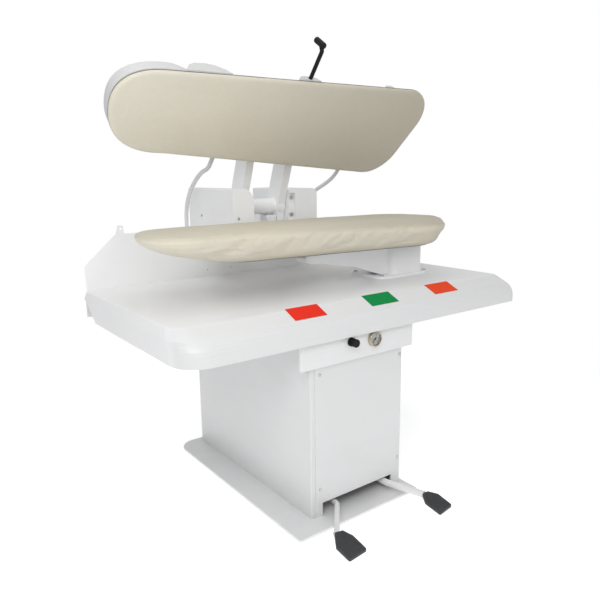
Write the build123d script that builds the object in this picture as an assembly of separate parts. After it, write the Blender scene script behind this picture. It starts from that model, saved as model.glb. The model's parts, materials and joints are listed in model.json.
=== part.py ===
from build123d import *
import math
import os

# Free-standing steam press, modelled open. Millimetres, +X to the operator's
# right, +Y to the rear, +Z up. Layout coordinates start at the front-left
# corner of the base plate on the floor; every piece is shifted at export so
# that the origin is the centre of the anchor-hole pattern on the floor.

# ------------------------------------------------------------------ sizes
ORIGIN_X, ORIGIN_Y = 289.0, 441.0

BASE_W, BASE_D, BASE_T = 502.0, 830.0, 8.0
ANCHOR_DX, ANCHOR_DY, ANCHOR_R = 300.0, 600.0, 7.0

CAB_X0, CAB_X1, CAB_Y0, CAB_Y1 = 96.0, 482.0, 70.0, 812.0
CAB_TOP = 640.0
SHEET = 2.0

TABLE_X0, TABLE_X1 = -326.0, 1065.0
TABLE_Y0, TABLE_Y1 = 42.0, 830.0
TABLE_Z0, TABLE_Z1 = 586.0, 680.0
SLOPE_Y0, SLOPE_Z0, SLOPE_Y1 = 42.0, 640.0, 130.0      # sloped front strip

HEADER_X0, HEADER_X1, HEADER_Y, HEADER_Z0 = 55.0, 519.0, 57.0, 506.0
GAUGE_X, GAUGE_Z, GAUGE_R = 341.0, 559.0, 25.0
REG_X, REG_Z = 245.0, 566.0

BUTTON_XC = (112.0, 417.0, 716.0)
BUTTON_YC = 108.0
BUTTON_W, BUTTON_D = 118.0, 58.0

PIVOT_Y, PIVOT_Z, SHAFT_R = 776.0, 948.0, 20.0
OPEN_DEG = 51.6

BUCK_TOP = 911.0
HEAD_FACE = 913.0                                        # closed position

# plan outline of head and buck: nose centre, half widths, wide-end corners
HEAD_PLAN = dict(xl=-311.0, a=183.0, yc=353.0, w=145.0, xf=1006.0, yf=198.0,
                 xr=908.0, yr=594.0, r1=121.0, r2=132.0, sh=19.0)
BUCK_PLAN = dict(xl=-291.0, a=176.0, yc=383.0, w=155.0, xf=992.0, yf=188.0,
                 xr=882.0, yr=557.0, r1=165.0, r2=140.0, sh=24.0)

HOUSING_L = (174.0, 264.0, 626.0, 980.0, 1024.0)
HOUSING_R = (482.0, 618.0, 700.0, 980.0, 1016.0)
OVERHANG_Z = 784.0                                       # underside of the housings in front of the guard

PARTS = {}


# ---------------------------------------------------------------- helpers
def box(x0, x1, y0, y1, z0, z1):
    return Pos((x0 + x1) / 2, (y0 + y1) / 2, (z0 + z1) / 2) * Box(x1 - x0, y1 - y0, z1 - z0)


def cyl_x(x0, x1, y, z, r):
    return Pos((x0 + x1) / 2, y, z) * Rot(0, 90, 0) * Cylinder(r, x1 - x0)


def cyl_y(y0, y1, x, z, r):
    return Pos(x, (y0 + y1) / 2, z) * Rot(90, 0, 0) * Cylinder(r, y1 - y0)


def cyl_z(z0, z1, x, y, r):
    return Pos(x, y, (z0 + z1) / 2) * Cylinder(r, z1 - z0)


def poly_face(pts, plane):
    w = Polyline(*[plane.from_local_coords((p[0], p[1], 0)) for p in pts], close=True)
    return make_face(w)


def prism_yz(pts, x0, x1):
    pl = Plane(origin=(x0, 0, 0), x_dir=(0, 1, 0), z_dir=(1, 0, 0))
    return extrude(poly_face(pts, pl), amount=x1 - x0, dir=(1, 0, 0))


def prism_xz(pts, y0, y1):
    pl = Plane(origin=(0, y1, 0), x_dir=(1, 0, 0), z_dir=(0, -1, 0))
    return extrude(poly_face(pts, pl), amount=y1 - y0, dir=(0, -1, 0))


def prism_xy(pts, z0, z1):
    pl = Plane(origin=(0, 0, z0), x_dir=(1, 0, 0), z_dir=(0, 0, 1))
    return extrude(poly_face(pts, pl), amount=z1 - z0, dir=(0, 0, 1))


def bar(points, radii, r):
    """Round bar or tube along straight runs joined by tangent arcs."""
    path = FilletPolyline(*points, radius=radii)
    sec = Plane(origin=path @ 0, z_dir=path % 0) * Circle(r)
    return sweep(sec, path=path)


def to_open(shape):
    """Closed position to the open rest position."""
    return shape.rotate(Axis((0, PIVOT_Y, PIVOT_Z), (1, 0, 0)), -OPEN_DEG)


def put(name, shape):
    PARTS[name] = shape


def rounded_plan(x0, x1, y0, y1, z, rfl, rfr, rbl=3.0, rbr=3.0):
    """Closed plan section with its own radius at each corner."""
    pts = []

    def arc(cx, cy, r, a0, a1):
        return [(cx + r * math.cos(math.radians(a)), cy + r * math.sin(math.radians(a)))
                for a in (a0, (a0 + a1) / 2, a1)]
    segs = [arc(x0 + rfl, y0 + rfl, rfl, 180, 270), arc(x1 - rfr, y0 + rfr, rfr, 270, 360),
            arc(x1 - rbr, y1 - rbr, rbr, 0, 90), arc(x0 + rbl, y1 - rbl, rbl, 90, 180)]
    edges = []
    for i, s in enumerate(segs):
        a = [(p[0], p[1], z) for p in s]
        edges.append(ThreePointArc(*a))
        nx = segs[(i + 1) % 4][0]
        edges.append(Line(a[2], (nx[0], nx[1], z)))
    return make_face(Wire(edges))


def plan_points(p, n_nose=26):
    """Points round the plan outline: rounded nose on the left, wide right end
    with its rear corner cut away."""
    pts = []
    ex = 2 / 2.4
    for i in range(n_nose + 1):
        t = math.pi / 2 + math.pi * i / n_nose
        c, s = math.cos(t), math.sin(t)
        cx = math.copysign(abs(c) ** ex, c) if abs(c) > 1e-9 else 0.0
        sy = math.copysign(abs(s) ** ex, s) if abs(s) > 1e-9 else 0.0
        pts.append((p["xl"] + p["a"] + p["a"] * cx + p["sh"] * sy, p["yc"] + p["w"] * sy))
    rear0, front0 = pts[0], pts[-1]

    def corner(a, b, c, r, n=8):
        ax, ay = a[0] - b[0], a[1] - b[1]
        cx, cy = c[0] - b[0], c[1] - b[1]
        la, lc = math.hypot(ax, ay), math.hypot(cx, cy)
        ax, ay, cx, cy = ax / la, ay / la, cx / lc, cy / lc
        half = math.acos(max(-1, min(1, ax * cx + ay * cy))) / 2
        t = r / math.tan(half)
        mx, my = ax + cx, ay + cy
        lm = math.hypot(mx, my)
        ox, oy = b[0] + mx / lm * r / math.sin(half), b[1] + my / lm * r / math.sin(half)
        va = (b[0] + ax * t - ox, b[1] + ay * t - oy)
        vb = (b[0] + cx * t - ox, b[1] + cy * t - oy)
        out = []
        for k in range(n + 1):
            s = k / n
            vx, vy = va[0] * (1 - s) + vb[0] * s, va[1] * (1 - s) + vb[1] * s
            lv = math.hypot(vx, vy)
            out.append((ox + vx / lv * r, oy + vy / lv * r))
        return out
    f, r = (p["xf"], p["yf"]), (p["xr"], p["yr"])
    c1 = corner(front0, f, r, p["r1"])
    c2 = corner(f, r, rear0, p["r2"])

    def between(a, b, n):
        return [(a[0] + (b[0] - a[0]) * k / n, a[1] + (b[1] - a[1]) * k / n) for k in range(1, n)]
    loop = pts + between(front0, c1[0], 7) + c1 + between(c1[-1], c2[0], 2) + c2 + between(c2[-1], rear0, 7)
    return loop


def resample(loop, n=60):
    closed = loop + [loop[0]]
    d = [0.0]
    for a, b in zip(closed, closed[1:]):
        d.append(d[-1] + math.hypot(b[0] - a[0], b[1] - a[1]))
    out, j = [], 0
    for i in range(n):
        s = d[-1] * i / n
        while d[j + 1] < s:
            j += 1
        u = (s - d[j]) / (d[j + 1] - d[j])
        out.append((closed[j][0] + (closed[j + 1][0] - closed[j][0]) * u,
                    closed[j][1] + (closed[j + 1][1] - closed[j][1]) * u))
    return out


def inset(loop, amount):
    """Move each point inwards by a number, or by a function of the point."""
    n = len(loop)
    out = []
    for i, (x, y) in enumerate(loop):
        a, b = loop[i - 1], loop[(i + 1) % n]
        tx, ty = b[0] - a[0], b[1] - a[1]
        lt = math.hypot(tx, ty)
        nx, ny = -ty / lt, tx / lt                     # loop runs anticlockwise
        k = amount(x, y) if callable(amount) else amount
        out.append((x + nx * k, y + ny * k))
    return out


def spline_face(loop, z):
    return make_face(Spline(*[(x, y, z) for x, y in loop], periodic=True))


def slab(loop, z0, z1):
    return extrude(spline_face(loop, z0), amount=z1 - z0, dir=(0, 0, 1))


def smooth(t):
    t = max(0.0, min(1.0, t))
    return t * t * (3 - 2 * t)


HEAD_LOOP = resample(plan_points(HEAD_PLAN))
BUCK_LOOP = resample(plan_points(BUCK_PLAN))

# ------------------------------------------------------------- base plate
base = extrude(rounded_plan(0, BASE_W, 0, BASE_D, 0, 6, 6, 60, 60), amount=BASE_T, dir=(0, 0, 1))
for sx in (-1, 1):
    for sy in (-1, 1):
        base -= cyl_z(-1, BASE_T + 1, ORIGIN_X + sx * ANCHOR_DX / 2, ORIGIN_Y + sy * ANCHOR_DY / 2, ANCHOR_R)
put("base_plate", base)

# ---------------------------------------------------------------- cabinet
outer = box(CAB_X0, CAB_X1, CAB_Y0, CAB_Y1, BASE_T, CAB_TOP)
outer = fillet(outer.edges().filter_by(Axis.Z), 5)
cab = outer - box(CAB_X0 + SHEET, CAB_X1 - SHEET, CAB_Y0 + SHEET, CAB_Y1 - SHEET, BASE_T - 1, CAB_TOP + 1)
cab += (box(CAB_X0 + SHEET, CAB_X1 - SHEET, CAB_Y0 + SHEET, CAB_Y1 - SHEET, CAB_TOP - SHEET, CAB_TOP)
        - box(CAB_X0 + 30, CAB_X1 - 30, CAB_Y0 + 110, CAB_Y1 - 40, CAB_TOP - 5, CAB_TOP + 1))
cab -= box(CAB_X0 - 1, CAB_X1 + 1, CAB_Y0 - 1, CAB_Y0 + 82, 612, CAB_TOP + 1)     # clear of the palm buttons
cab += (box(CAB_X0 + SHEET, CAB_X1 - SHEET, CAB_Y0 + SHEET, CAB_Y1 - SHEET, BASE_T, BASE_T + SHEET)
        - box(CAB_X0 + 30, CAB_X1 - 30, CAB_Y0 - 5, CAB_Y1 - 30, BASE_T - 5, BASE_T + 5))
# front and rear openings closed by the access panels
cab -= box(138, 440, CAB_Y0 - 1, CAB_Y0 + SHEET + 1, BASE_T - 1, 470)
cab -= box(128, 450, CAB_Y1 - SHEET - 1, CAB_Y1 + 1, 40, 560)
put("cabinet_shell", cab)

PEDAL_X0, PEDAL_X1, PEDAL_TOP = 138.0, 440.0, 52.0
panel = box(112, 480, 66.5, 70, BASE_T, 503)
panel = fillet(panel.edges().filter_by(Axis.Z).group_by(Axis.Y)[0], 1.5)
panel -= box(114, 478, 68.0, 71, BASE_T + 1.5, 501.5)
panel -= box(PEDAL_X0, PEDAL_X1, 60, 75, BASE_T - 1, PEDAL_TOP)
panel += (box(PEDAL_X0 - 14, PEDAL_X0, 66.5, 68.0, BASE_T, PEDAL_TOP)
          + box(PEDAL_X1, PEDAL_X1 + 14, 66.5, 68.0, BASE_T, PEDAL_TOP))
FRONT_SCREWS = [(129, 479), (469, 481), (129, 101), (469, 108)]
rear_panel = box(112, 466, 812, 813.5, 24, 576)
for k in range(7):                                      # ventilation slots
    rear_panel -= box(150, 250, 805, 820, 470 + k * 12, 475 + k * 12)
REAR_SCREWS = [(119, 560), (459, 560), (119, 34), (459, 34)]
screws = None


def add_screw(s, shape):
    return shape if s is None else s + shape


def sheet_screw_y(x, y_face, z, into, r=2.5, head=5.5, length=10):
    """Dome-head screw whose head stands on y_face; into is +1 or -1 along Y."""
    y0, y1 = sorted((y_face, y_face + into * length))
    h0, h1 = sorted((y_face, y_face - into * 2.6))
    dome = fillet(cyl_y(h0, h1, x, z, head).edges().filter_by(GeomType.CIRCLE).sort_by(Axis.Y)[0 if into > 0 else -1], 1.6)
    return cyl_y(y0, y1, x, z, r) + dome


cab = PARTS["cabinet_shell"]
for x, z in FRONT_SCREWS:
    panel -= cyl_y(60, 75, x, z, 2.5)
    cab -= cyl_y(60, 80, x, z, 2.5)
    screws = add_screw(screws, sheet_screw_y(x, 66.5, z, 1))
for x, z in REAR_SCREWS:
    rear_panel -= cyl_y(805, 820, x, z, 2.5)
    cab -= cyl_y(800, 820, x, z, 2.5)
    screws += sheet_screw_y(x, 813.5, z, -1)
panel = panel.solids().sort_by(SortBy.VOLUME)[-1]
put("front_panel", panel)

# header panel, a shallow folded pan on the front of the cabinet
hd = box(HEADER_X0, HEADER_X1, HEADER_Y, 70, HEADER_Z0, 636)
hd = fillet(hd.edges().filter_by(Axis.Z).group_by(Axis.Y)[0], 2.0)
hd -= box(HEADER_X0 + SHEET, HEADER_X1 - SHEET, HEADER_Y + SHEET, 71, HEADER_Z0 + SHEET, 634)
hd -= cyl_y(50, 75, GAUGE_X, GAUGE_Z, 22.0)
hd -= cyl_y(50, 75, REG_X, REG_Z, 10.0)
put("header_panel", hd)
cab -= cyl_y(60, 80, GAUGE_X, GAUGE_Z, 24.0)
cab -= box(REG_X - 27, REG_X + 27, 60, 80, REG_Z - 42, REG_Z + 42)

# ------------------------------------------------------------- work table
SLOPE = math.atan2(TABLE_Z1 - SLOPE_Z0, SLOPE_Y1 - SLOPE_Y0)
R_LOW, R_TOP, R_SIDE = 50.0, 40.0, 25.0
low_end = math.pi / 2 + SLOPE
z_low = SLOPE_Z0 - R_LOW * math.tan((math.pi / 2 - SLOPE) / 2)


def front_profile():
    """(inset from the front face, height) pairs from the lip to the top."""
    out = [(0.0, TABLE_Z0), (0.0, z_low)]
    for k in range(1, 6):
        a = math.pi + (low_end - math.pi) * k / 5
        out.append((R_LOW + R_LOW * math.cos(a), z_low + R_LOW * math.sin(a)))
    d = R_TOP * math.tan(SLOPE / 2)
    ys = SLOPE_Y1 - SLOPE_Y0 - d * math.cos(SLOPE)
    out.append((ys, TABLE_Z1 - d * math.sin(SLOPE)))
    out.append((ys + d * 0.9, TABLE_Z1 - 0.9))
    out.append((SLOPE_Y1 - SLOPE_Y0 + d, TABLE_Z1))
    return out


def side_inset(z, r):
    h = z - (TABLE_Z1 - r)
    return 0.0 if h <= 0 else r - math.sqrt(max(0.0, r * r - h * h))


def tray(dx, dz):
    secs = []
    for fy, z in front_profile():
        sl, sr = side_inset(z, R_SIDE), side_inset(z, 10.0)
        rfl = max(12.0, 88.0 - sl - fy * 0.35) - dx
        secs.append(rounded_plan(TABLE_X0 + dx + sl, TABLE_X1 - dx - sr, TABLE_Y0 + dx + fy,
                                 TABLE_Y1 - dx, z - dz, rfl, max(6.0, 16.0 - sr) - dx / 2, 4 - dx / 2, 4 - dx / 2))
    return loft(secs, ruled=True)


top = tray(0, 0)
hollow = tray(SHEET, SHEET) + box(TABLE_X0 + 90, TABLE_X1 - 20, TABLE_Y0 + 90, TABLE_Y1 - SHEET - 4, TABLE_Z0 - 5, TABLE_Z0 + 5)
table = top - tray(SHEET, SHEET)
# rear ends of the side lips are cut on the slant
for x0, x1 in ((TABLE_X0 - 1, TABLE_X0 + SHEET), (TABLE_X1 - SHEET, TABLE_X1 + 1)):
    table -= prism_yz([(715, TABLE_Z0 - 1), (832, TABLE_Z0 - 1), (832, TABLE_Z0 + 82)], x0, x1)
table -= box(TABLE_X0 - 1, TABLE_X0 + 8, TABLE_Y1 - SHEET - 4, TABLE_Y1 + 1, TABLE_Z0 - 1, TABLE_Z0 + 84)
table -= box(TABLE_X1 - 8, TABLE_X1 + 1, TABLE_Y1 - SHEET - 4, TABLE_Y1 + 1, TABLE_Z0 - 1, TABLE_Z0 + 84)
# passages below the stand for steam and vacuum
table -= cyl_z(660, 690, 735, 477, 12)
table -= cyl_z(660, 690, 805, 430, 31)

# frame below the table
fr = (box(-290, 1040, 180, 214, CAB_TOP, 674) + box(-290, 1040, 690, 722, CAB_TOP, TABLE_Z1 - SHEET)
      + box(-290, 1040, 788, 820, CAB_TOP, TABLE_Z1 - SHEET))
fr += box(-290, 1040, 180, 214, 674, TABLE_Z1 - SHEET)
for xa, xb in ((-290, -260), (98, 128), (450, 480), (1010, 1040)):
    fr += box(xa, xb, 180, 820, CAB_TOP, TABLE_Z1 - SHEET)
fr += box(690, 720, 180, 722, CAB_TOP, TABLE_Z1 - SHEET) + box(850, 880, 180, 722, CAB_TOP, TABLE_Z1 - SHEET)
inner = None
for ya, yb in ((182, 212), (692, 720), (790, 818)):
    cut = box(-301, 1041, ya, yb, CAB_TOP + 2, TABLE_Z1 - SHEET - 2)
    inner = cut if inner is None else inner + cut
fr -= inner
put("table_frame", fr)

# back guard with a clipped corner at each end and a drilled tab on the left
guard = prism_xz([(-248, 600), (-288, 672), (-312, 676), (-312, 766), (-192, 874), (-186, 901), (-165, 901), (-163, 872), (TABLE_X1 - 120, 872),
                  (TABLE_X1, 766), (TABLE_X1, 676), (TABLE_X1 - 24, 672), (TABLE_X1 - 50, 600)], 830, 832)
for x0, x1 in ((HOUSING_L[0] - 3, HOUSING_L[1] + 3), (HOUSING_R[0] - 3, HOUSING_R[1] + 3)):
    guard -= box(x0, x1, 825, 835, OVERHANG_Z - 3, 900)
guard -= box(388, 440, 825, 835, 842, 900)
guard -= cyl_y(825, 835, -173, 889, 4)
for x in (-236, 60, 650, 830, 990):
    guard -= cyl_y(820, 840, x, 630, 2.5)
    table -= cyl_y(820, 840, x, 630, 2.5)
    screws += sheet_screw_y(x, 832, 630, -1, length=8)
put("back_guard", guard)

# ------------------------------------------------- palm buttons on the slope
n_y, n_z = -math.sin(SLOPE), math.cos(SLOPE)


def slope_plane(xc, depth):
    zc = SLOPE_Z0 + (BUTTON_YC - SLOPE_Y0) * math.tan(SLOPE)
    o = (xc, BUTTON_YC + n_y * depth, zc + n_z * depth)
    return Plane(origin=o, x_dir=(1, 0, 0), z_dir=(0, n_y, n_z))


def slope_block(xc, w, d, low, high, r=0.0):
    pl = slope_plane(xc, low)
    sk = Rectangle(w, d) if r <= 0 else RectangleRounded(w, d, r)
    return extrude(pl * sk, amount=high - low)


housings = None
for name, xc in zip(("button_red", "button_green", "button_orange"), BUTTON_XC):
    hole = slope_block(xc, BUTTON_W + 4.6, BUTTON_D + 4.6, -14, 9, 3.3)
    table -= hole
    cup = slope_block(xc, BUTTON_W + 4.4, BUTTON_D + 4.4, -22, 0.6, 3.2) - slope_block(xc, BUTTON_W + 1.6, BUTTON_D + 1.6, -19, 2, 2.2)
    cup += slope_block(xc, 30, 30, -36, -22)
    housings = cup if housings is None else housings + cup
    btn = slope_block(xc, BUTTON_W, BUTTON_D, -9, 2.0, 2.0)
    btn = fillet(btn.faces().sort_by(Axis.Z)[-1].edges(), 0.9)
    btn += slope_block(xc, 16, 16, -14, -9)
    put(name, btn)
put("button_housings", housings)

# ----------------------------------------------------- gauge and regulator
case = cyl_y(44, 57, GAUGE_X, GAUGE_Z, GAUGE_R) + cyl_y(57, 96, GAUGE_X, GAUGE_Z, 21.9)
case = fillet(case.edges().filter_by(GeomType.CIRCLE).sort_by(Axis.Y)[0], 2.5)
case += cyl_y(96, 112, GAUGE_X, GAUGE_Z, 7)
case -= cyl_y(43, 54, GAUGE_X, GAUGE_Z, 21.0)
case -= cyl_y(54, 60, GAUGE_X, GAUGE_Z, 2.0)
put("gauge_case", case)
put("gauge_dial", cyl_y(52.5, 54, GAUGE_X, GAUGE_Z, 20.9) - cyl_y(50, 56, GAUGE_X, GAUGE_Z, 2.0))
put("gauge_lens", cyl_y(45.4, 47.4, GAUGE_X, GAUGE_Z, 20.95))
needle = prism_xz([(GAUGE_X - 1.4, GAUGE_Z - 6), (GAUGE_X + 1.4, GAUGE_Z - 6), (GAUGE_X + 1.0, GAUGE_Z + 10), (GAUGE_X, GAUGE_Z + 16),
                   (GAUGE_X - 1.0, GAUGE_Z + 10)], 50.2, 51.2)
needle += cyl_y(49.4, 51.4, GAUGE_X, GAUGE_Z, 2.8) + cyl_y(51.4, 58, GAUGE_X, GAUGE_Z, 1.92)
needle = needle.rotate(Axis((GAUGE_X, 0, GAUGE_Z), (0, 1, 0)), -135)
put("gauge_needle", needle)

reg = cyl_y(57, 80, REG_X, REG_Z, 9.9) + box(REG_X - 25, REG_X + 25, 72.5, 150, REG_Z - 30, REG_Z + 30)
reg += cyl_z(REG_Z - 96, REG_Z - 30, REG_X, 112, 20) + cyl_y(34, 57, REG_X, REG_Z, 5.0)
put("regulator_body", reg)
kn = cyl_y(28, 41, REG_X, REG_Z, 13.0) + cyl_y(41, 48.5, REG_X, REG_Z, 9.5) + cyl_y(48.5, 56.6, REG_X, REG_Z, 14.0)
kn = fillet(kn.edges().filter_by(GeomType.CIRCLE).sort_by(Axis.Y)[0], 2.0)
for k in range(12):
    a = math.radians(30 * k)
    kn -= cyl_y(27, 41, REG_X + 13.6 * math.cos(a), REG_Z + 13.6 * math.sin(a), 1.3)
kn -= cyl_y(33, 58, REG_X, REG_Z, 5.05)
put("regulator_knob", kn)

# ------------------------------------------------------------ hinge stands
def hinge_bracket(x0, x1, wx0, wx1):
    """Bearing hub on a web that reaches forward over the guard slot from the
    rear beam; the web stands at wx0 to wx1."""
    web = prism_yz([(741, 948), (750, 905), (824, 812), (840, 792), (840, 604), (884, 604), (898, 800), (880, 900), (812, 975), (776, 985)], wx0, wx1)
    web += cyl_x(x0 - 3, x1 + 3, PIVOT_Y, PIVOT_Z, 38)
    web -= cyl_x(x0 - 10, x1 + 10, PIVOT_Y, PIVOT_Z, 26)
    return web


bl = hinge_bracket(232, 256, 232, 256)
brk = hinge_bracket(490, 514, 485.5, 498)
bolts = None
rail_holes = []
for x in (284, 324, 364, 452, 578, 600):                   # rear beam to the table frame
    rail_holes.append((x, 660))


def hex_bolt(x, y, z_face, down=26, r=4.0, af=13.0):
    head = extrude(Plane(origin=(x, y, z_face), z_dir=(0, 0, 1)) * RegularPolygon(af / 2 / math.cos(math.pi / 6), 6), amount=5.5)
    head += cyl_z(z_face, z_face + 1.2, x, y, 8.5)
    return head + cyl_z(z_face - down, z_face, x, y, r)


def rear_bolt(x, z, y_face, down=28, r=4.0, af=13.0):
    head = extrude(Plane(origin=(x, y_face, z), z_dir=(0, 1, 0)) * RegularPolygon(af / 2 / math.cos(math.pi / 6), 6), amount=5.5)
    head += cyl_y(y_face, y_face + 1.2, x, z, 8.5)
    return head + cyl_y(y_face - down, y_face, x, z, r)


fr = PARTS["table_frame"]
guard = PARTS["back_guard"]
for x, z in rail_holes:
    hole = cyl_y(800, 845, x, z, 4.2)
    table -= hole
    fr -= hole
    guard -= hole
    bolts = rear_bolt(x, z, 840) if bolts is None else bolts + rear_bolt(x, z, 840)
put("hinge_bracket_left", bl)
put("hinge_bracket_right", brk)
bush = None
for xa in (229.0, 487.0):
    b = cyl_x(xa, xa + 30, PIVOT_Y, PIVOT_Z, 26) - cyl_x(xa - 1, xa + 31, PIVOT_Y, PIVOT_Z, SHAFT_R + 0.05)
    bush = b if bush is None else bush + b
put("pivot_bushes", bush)

stop = box(392, 436, 736, 768, 846, 912) + box(392, 436, 736, 858, 846, 870) + box(392, 436, 840, 858, 604, 870)
stop = fillet(stop.edges().filter_by(Axis.X).group_by(Axis.Z)[-1], 4)
put("stop_bracket", stop)
put("stop_buffer", box(398, 430, 768, 777.5, 880, 906))


# ---------------------------------------------------------- hinge housings
def housing(dim, r_top, hole_side):
    x0, x1, y0, y1, z1 = dim
    zc = z1 - r_top

    def body(d):
        a, b, t, r = x0 + d, x1 - d, z1 - d, r_top - d
        w = Wire([Line((a, 0, 0), (a, 0, t - 6)), ThreePointArc((a, 0, t - 6), (a + 1.76, 0, t - 1.76), (a + 6, 0, t)),
                  Line((a + 6, 0, t), (b - r, 0, t)),
                  ThreePointArc((b - r, 0, t), (b - r + r * math.sin(math.pi / 4), 0, t - r + r * math.cos(math.pi / 4)), (b, 0, t - r)),
                  Line((b, 0, t - r), (b, 0, 0)), Line((b, 0, 0), (a, 0, 0))])
        f = make_face(w)
        return f
    out = extrude(Pos(0, y0, 0) * body(0), amount=y1 - y0, dir=(0, 1, 0))
    inn = extrude(Pos(0, y0 + SHEET, 0) * body(SHEET), amount=y1 - y0 - 2 * SHEET, dir=(0, 1, 0))
    sh = out - inn
    sh -= box(x0 - 1, x1 + 1, y0 - 1, 842, -1, OVERHANG_Z)
    sh -= box(x0 - 1, x1 + 1, y0 - 1, y1 + 1, -1, 600)
    sh += box(x0, x1, y0, 828, OVERHANG_Z, OVERHANG_Z + SHEET)
    for fa, fb in ((x0 - 14, x0 + SHEET), (x1 - SHEET, x1 + 14)):   # flanges behind the guard
        sh += box(fa, fb, 832, 834, 690, 868)
        sh += box(max(fa, x0), min(fb, x1), 832, 842, 690, OVERHANG_Z)
    xi = x1 if hole_side > 0 else x0
    sh -= cyl_x(xi - 5, xi + 5, PIVOT_Y, PIVOT_Z, 31)
    sh -= box(xi - 5, xi + 5, PIVOT_Y - 22, PIVOT_Y + 22, OVERHANG_Z - 1, PIVOT_Z)
    return sh


hl = housing(HOUSING_L, 48.0, 1)
hr = housing(HOUSING_R, 26.0, -1)


def side_screw(x_face, y, z, into, length=9):
    xs = sorted((x_face, x_face + into * length))
    hs = sorted((x_face, x_face - into * 2.4))
    return cyl_x(xs[0], xs[1], y, z, 2.5) + cyl_x(hs[0], hs[1], y, z, 5.0)


for y, z in ((872, 917), (660, 812), (940, 700)):
    hl -= cyl_x(160, 180, y, z, 2.5)
    screws += side_screw(174, y, z, 1)
for y, z in ((730, 812), (940, 700)):
    hr -= cyl_x(610, 625, y, z, 2.5)
    screws += side_screw(618, y, z, -1)
hl -= cyl_y(621, 636, 196, 916, 2.5)
screws += sheet_screw_y(196, 626, 916, 1)
hr -= box(481, 509, 699, 716, 884, 1000)                 # recess at the hinge side
hr += box(482, 509, 714, 716, 884, 1000) + box(507, 509, 700, 716, 884, 1000)
hr += box(482, 509, 700, 716, 998, 1000) + box(482, 509, 700, 716, 884, 886)
for z in (914, 981):
    hr -= cyl_y(705, 730, 494.5, z, 4.0)
    screws += cyl_y(706, 728, 494.5, z, 4.0) + extrude(Plane(origin=(494.5, 714, z), z_dir=(0, -1, 0)) * RegularPolygon(8.4, 6), amount=7.5)
for dim in (HOUSING_L, HOUSING_R):
    for x in (dim[0] - 8, dim[1] + 8):
        for z in (706, 846):
            hole = cyl_y(825, 836, x, z, 2.5)
            guard -= hole
            hl -= hole
            hr -= hole
            screws += sheet_screw_y(x, 834, z, -1, length=4)
put("back_guard", guard)
put("housing_left", hl)
put("housing_right", hr)
put("sheet_screws", screws)
put("cabinet_shell", cab)
put("rear_panel", rear_panel)

# hose fittings on the outer faces of the housings
fit = cyl_x(148, 174, 938, 800, 9) + cyl_x(160, 167, 938, 800, 13) + (Pos(138, 938, 800) * Sphere(12)) + cyl_z(800, 828, 138, 938, 9)
fit += extrude(Plane(origin=(138, 938, 812), z_dir=(0, 0, 1)) * RegularPolygon(12.5, 6), amount=12)
fit2 = cyl_x(618, 640, 850, 850, 9) + cyl_x(625, 632, 850, 850, 13) + (Pos(647, 850, 850) * Sphere(12)) + cyl_z(850, 878, 647, 850, 9)
fit2 += extrude(Plane(origin=(647, 850, 862), z_dir=(0, 0, 1)) * RegularPolygon(12.5, 6), amount=12)
put("hose_fittings", fit + fit2)

# ------------------------------------------------------------ buck and stand
stand = extrude(Plane(origin=(786, 418, TABLE_Z1 + 9), z_dir=(0, 0, 1)) * RectangleRounded(160, 166, 20), amount=803 - TABLE_Z1 - 9)
stand += extrude(Plane(origin=(762, 416, TABLE_Z1), z_dir=(0, 0, 1)) * RectangleRounded(262, 190, 34), amount=9)
stand -= extrude(Plane(origin=(786, 418, TABLE_Z1 - 1), z_dir=(0, 0, 1)) * RectangleRounded(150, 156, 15), amount=796 - TABLE_Z1)
stand -= cyl_z(790, 805, 735, 477, 12) + cyl_z(790, 805, 805, 430, 28)
put("buck_stand_raw", stand)

arm = prism_xz([(706, 803), (330, 803), (312, 798), (305, 785), (312, 771), (330, 764), (378, 762), (530, 734), (640, 700), (668, 690),
                (706, 689)], 366, 426)
arm = fillet(arm.edges().filter_by(Axis.X), 8) if False else arm
arm += box(330, 706, 340, 452, 795, 803)
put("buck_arm", arm)



def section(z, dx, dw, ins):
    """Cross-section of the buck: plan with its narrow end moved dx towards the
    stand and made dw narrower, then inset all round."""
    plan = dict(BUCK_PLAN, xl=BUCK_PLAN["xl"] + dx, w=BUCK_PLAN["w"] - dw)
    loop = resample(plan_points(plan))
    return spline_face(resample(inset(loop, ins)) if ins else loop, z)


CHEST_SECTIONS = ((803, 262, 52, 44), (850, 80, 24, 28), (880, 20, 8, 20))
PAD_SECTIONS = ((811, 240, 48, 26), (830, 150, 30, 18), (850, 60, 20, 11), (875, 17, 6, 3.5), (899, 0, 0, 0), (907, 0, 0, 5), (BUCK_TOP, 0, 0, 16))
chest = loft([section(*c) for c in CHEST_SECTIONS], ruled=True)
chest -= extrude(section(815, 230, 50, 62), amount=53, dir=(0, 0, 1))
for x, y0, y1 in ((100, 332, 425), (280, 314, 440), (500, 292, 460), (720, 270, 475)):   # ribs between the steam passages
    chest += box(x, x + 14, y0, y1, 815, 868)
chest += box(60, 820, 380, 394, 815, 868)
pad = loft([section(*c) for c in PAD_SECTIONS], ruled=True)
pad -= loft([section(*c) for c in CHEST_SECTIONS], ruled=True)
put("buck_chest", chest)
put("buck_pad", pad)

stand = PARTS.pop("buck_stand_raw")
for x, y in ((650, 340), (650, 492), (880, 340), (880, 492)):
    hole = cyl_z(600, 760, x, y, 4.2)
    stand -= hole
    table -= hole
    fr -= hole
    bolts += hex_bolt(x, y, TABLE_Z1 + 9, down=20)
put("buck_stand", stand)
put("frame_bolts", bolts)
put("work_table", table)
put("table_frame", fr)

# -------------------------------------------- cylinder, spring, rear levers
LEV = 96.0
half = math.radians(OPEN_DEG / 2)
pin_y = PIVOT_Y + LEV
pin_z = PIVOT_Z - LEV * math.tan(half)
CYL_X, SPR_X = 531.0, 213.0
STROKE = 2 * LEV * math.tan(half)

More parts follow.
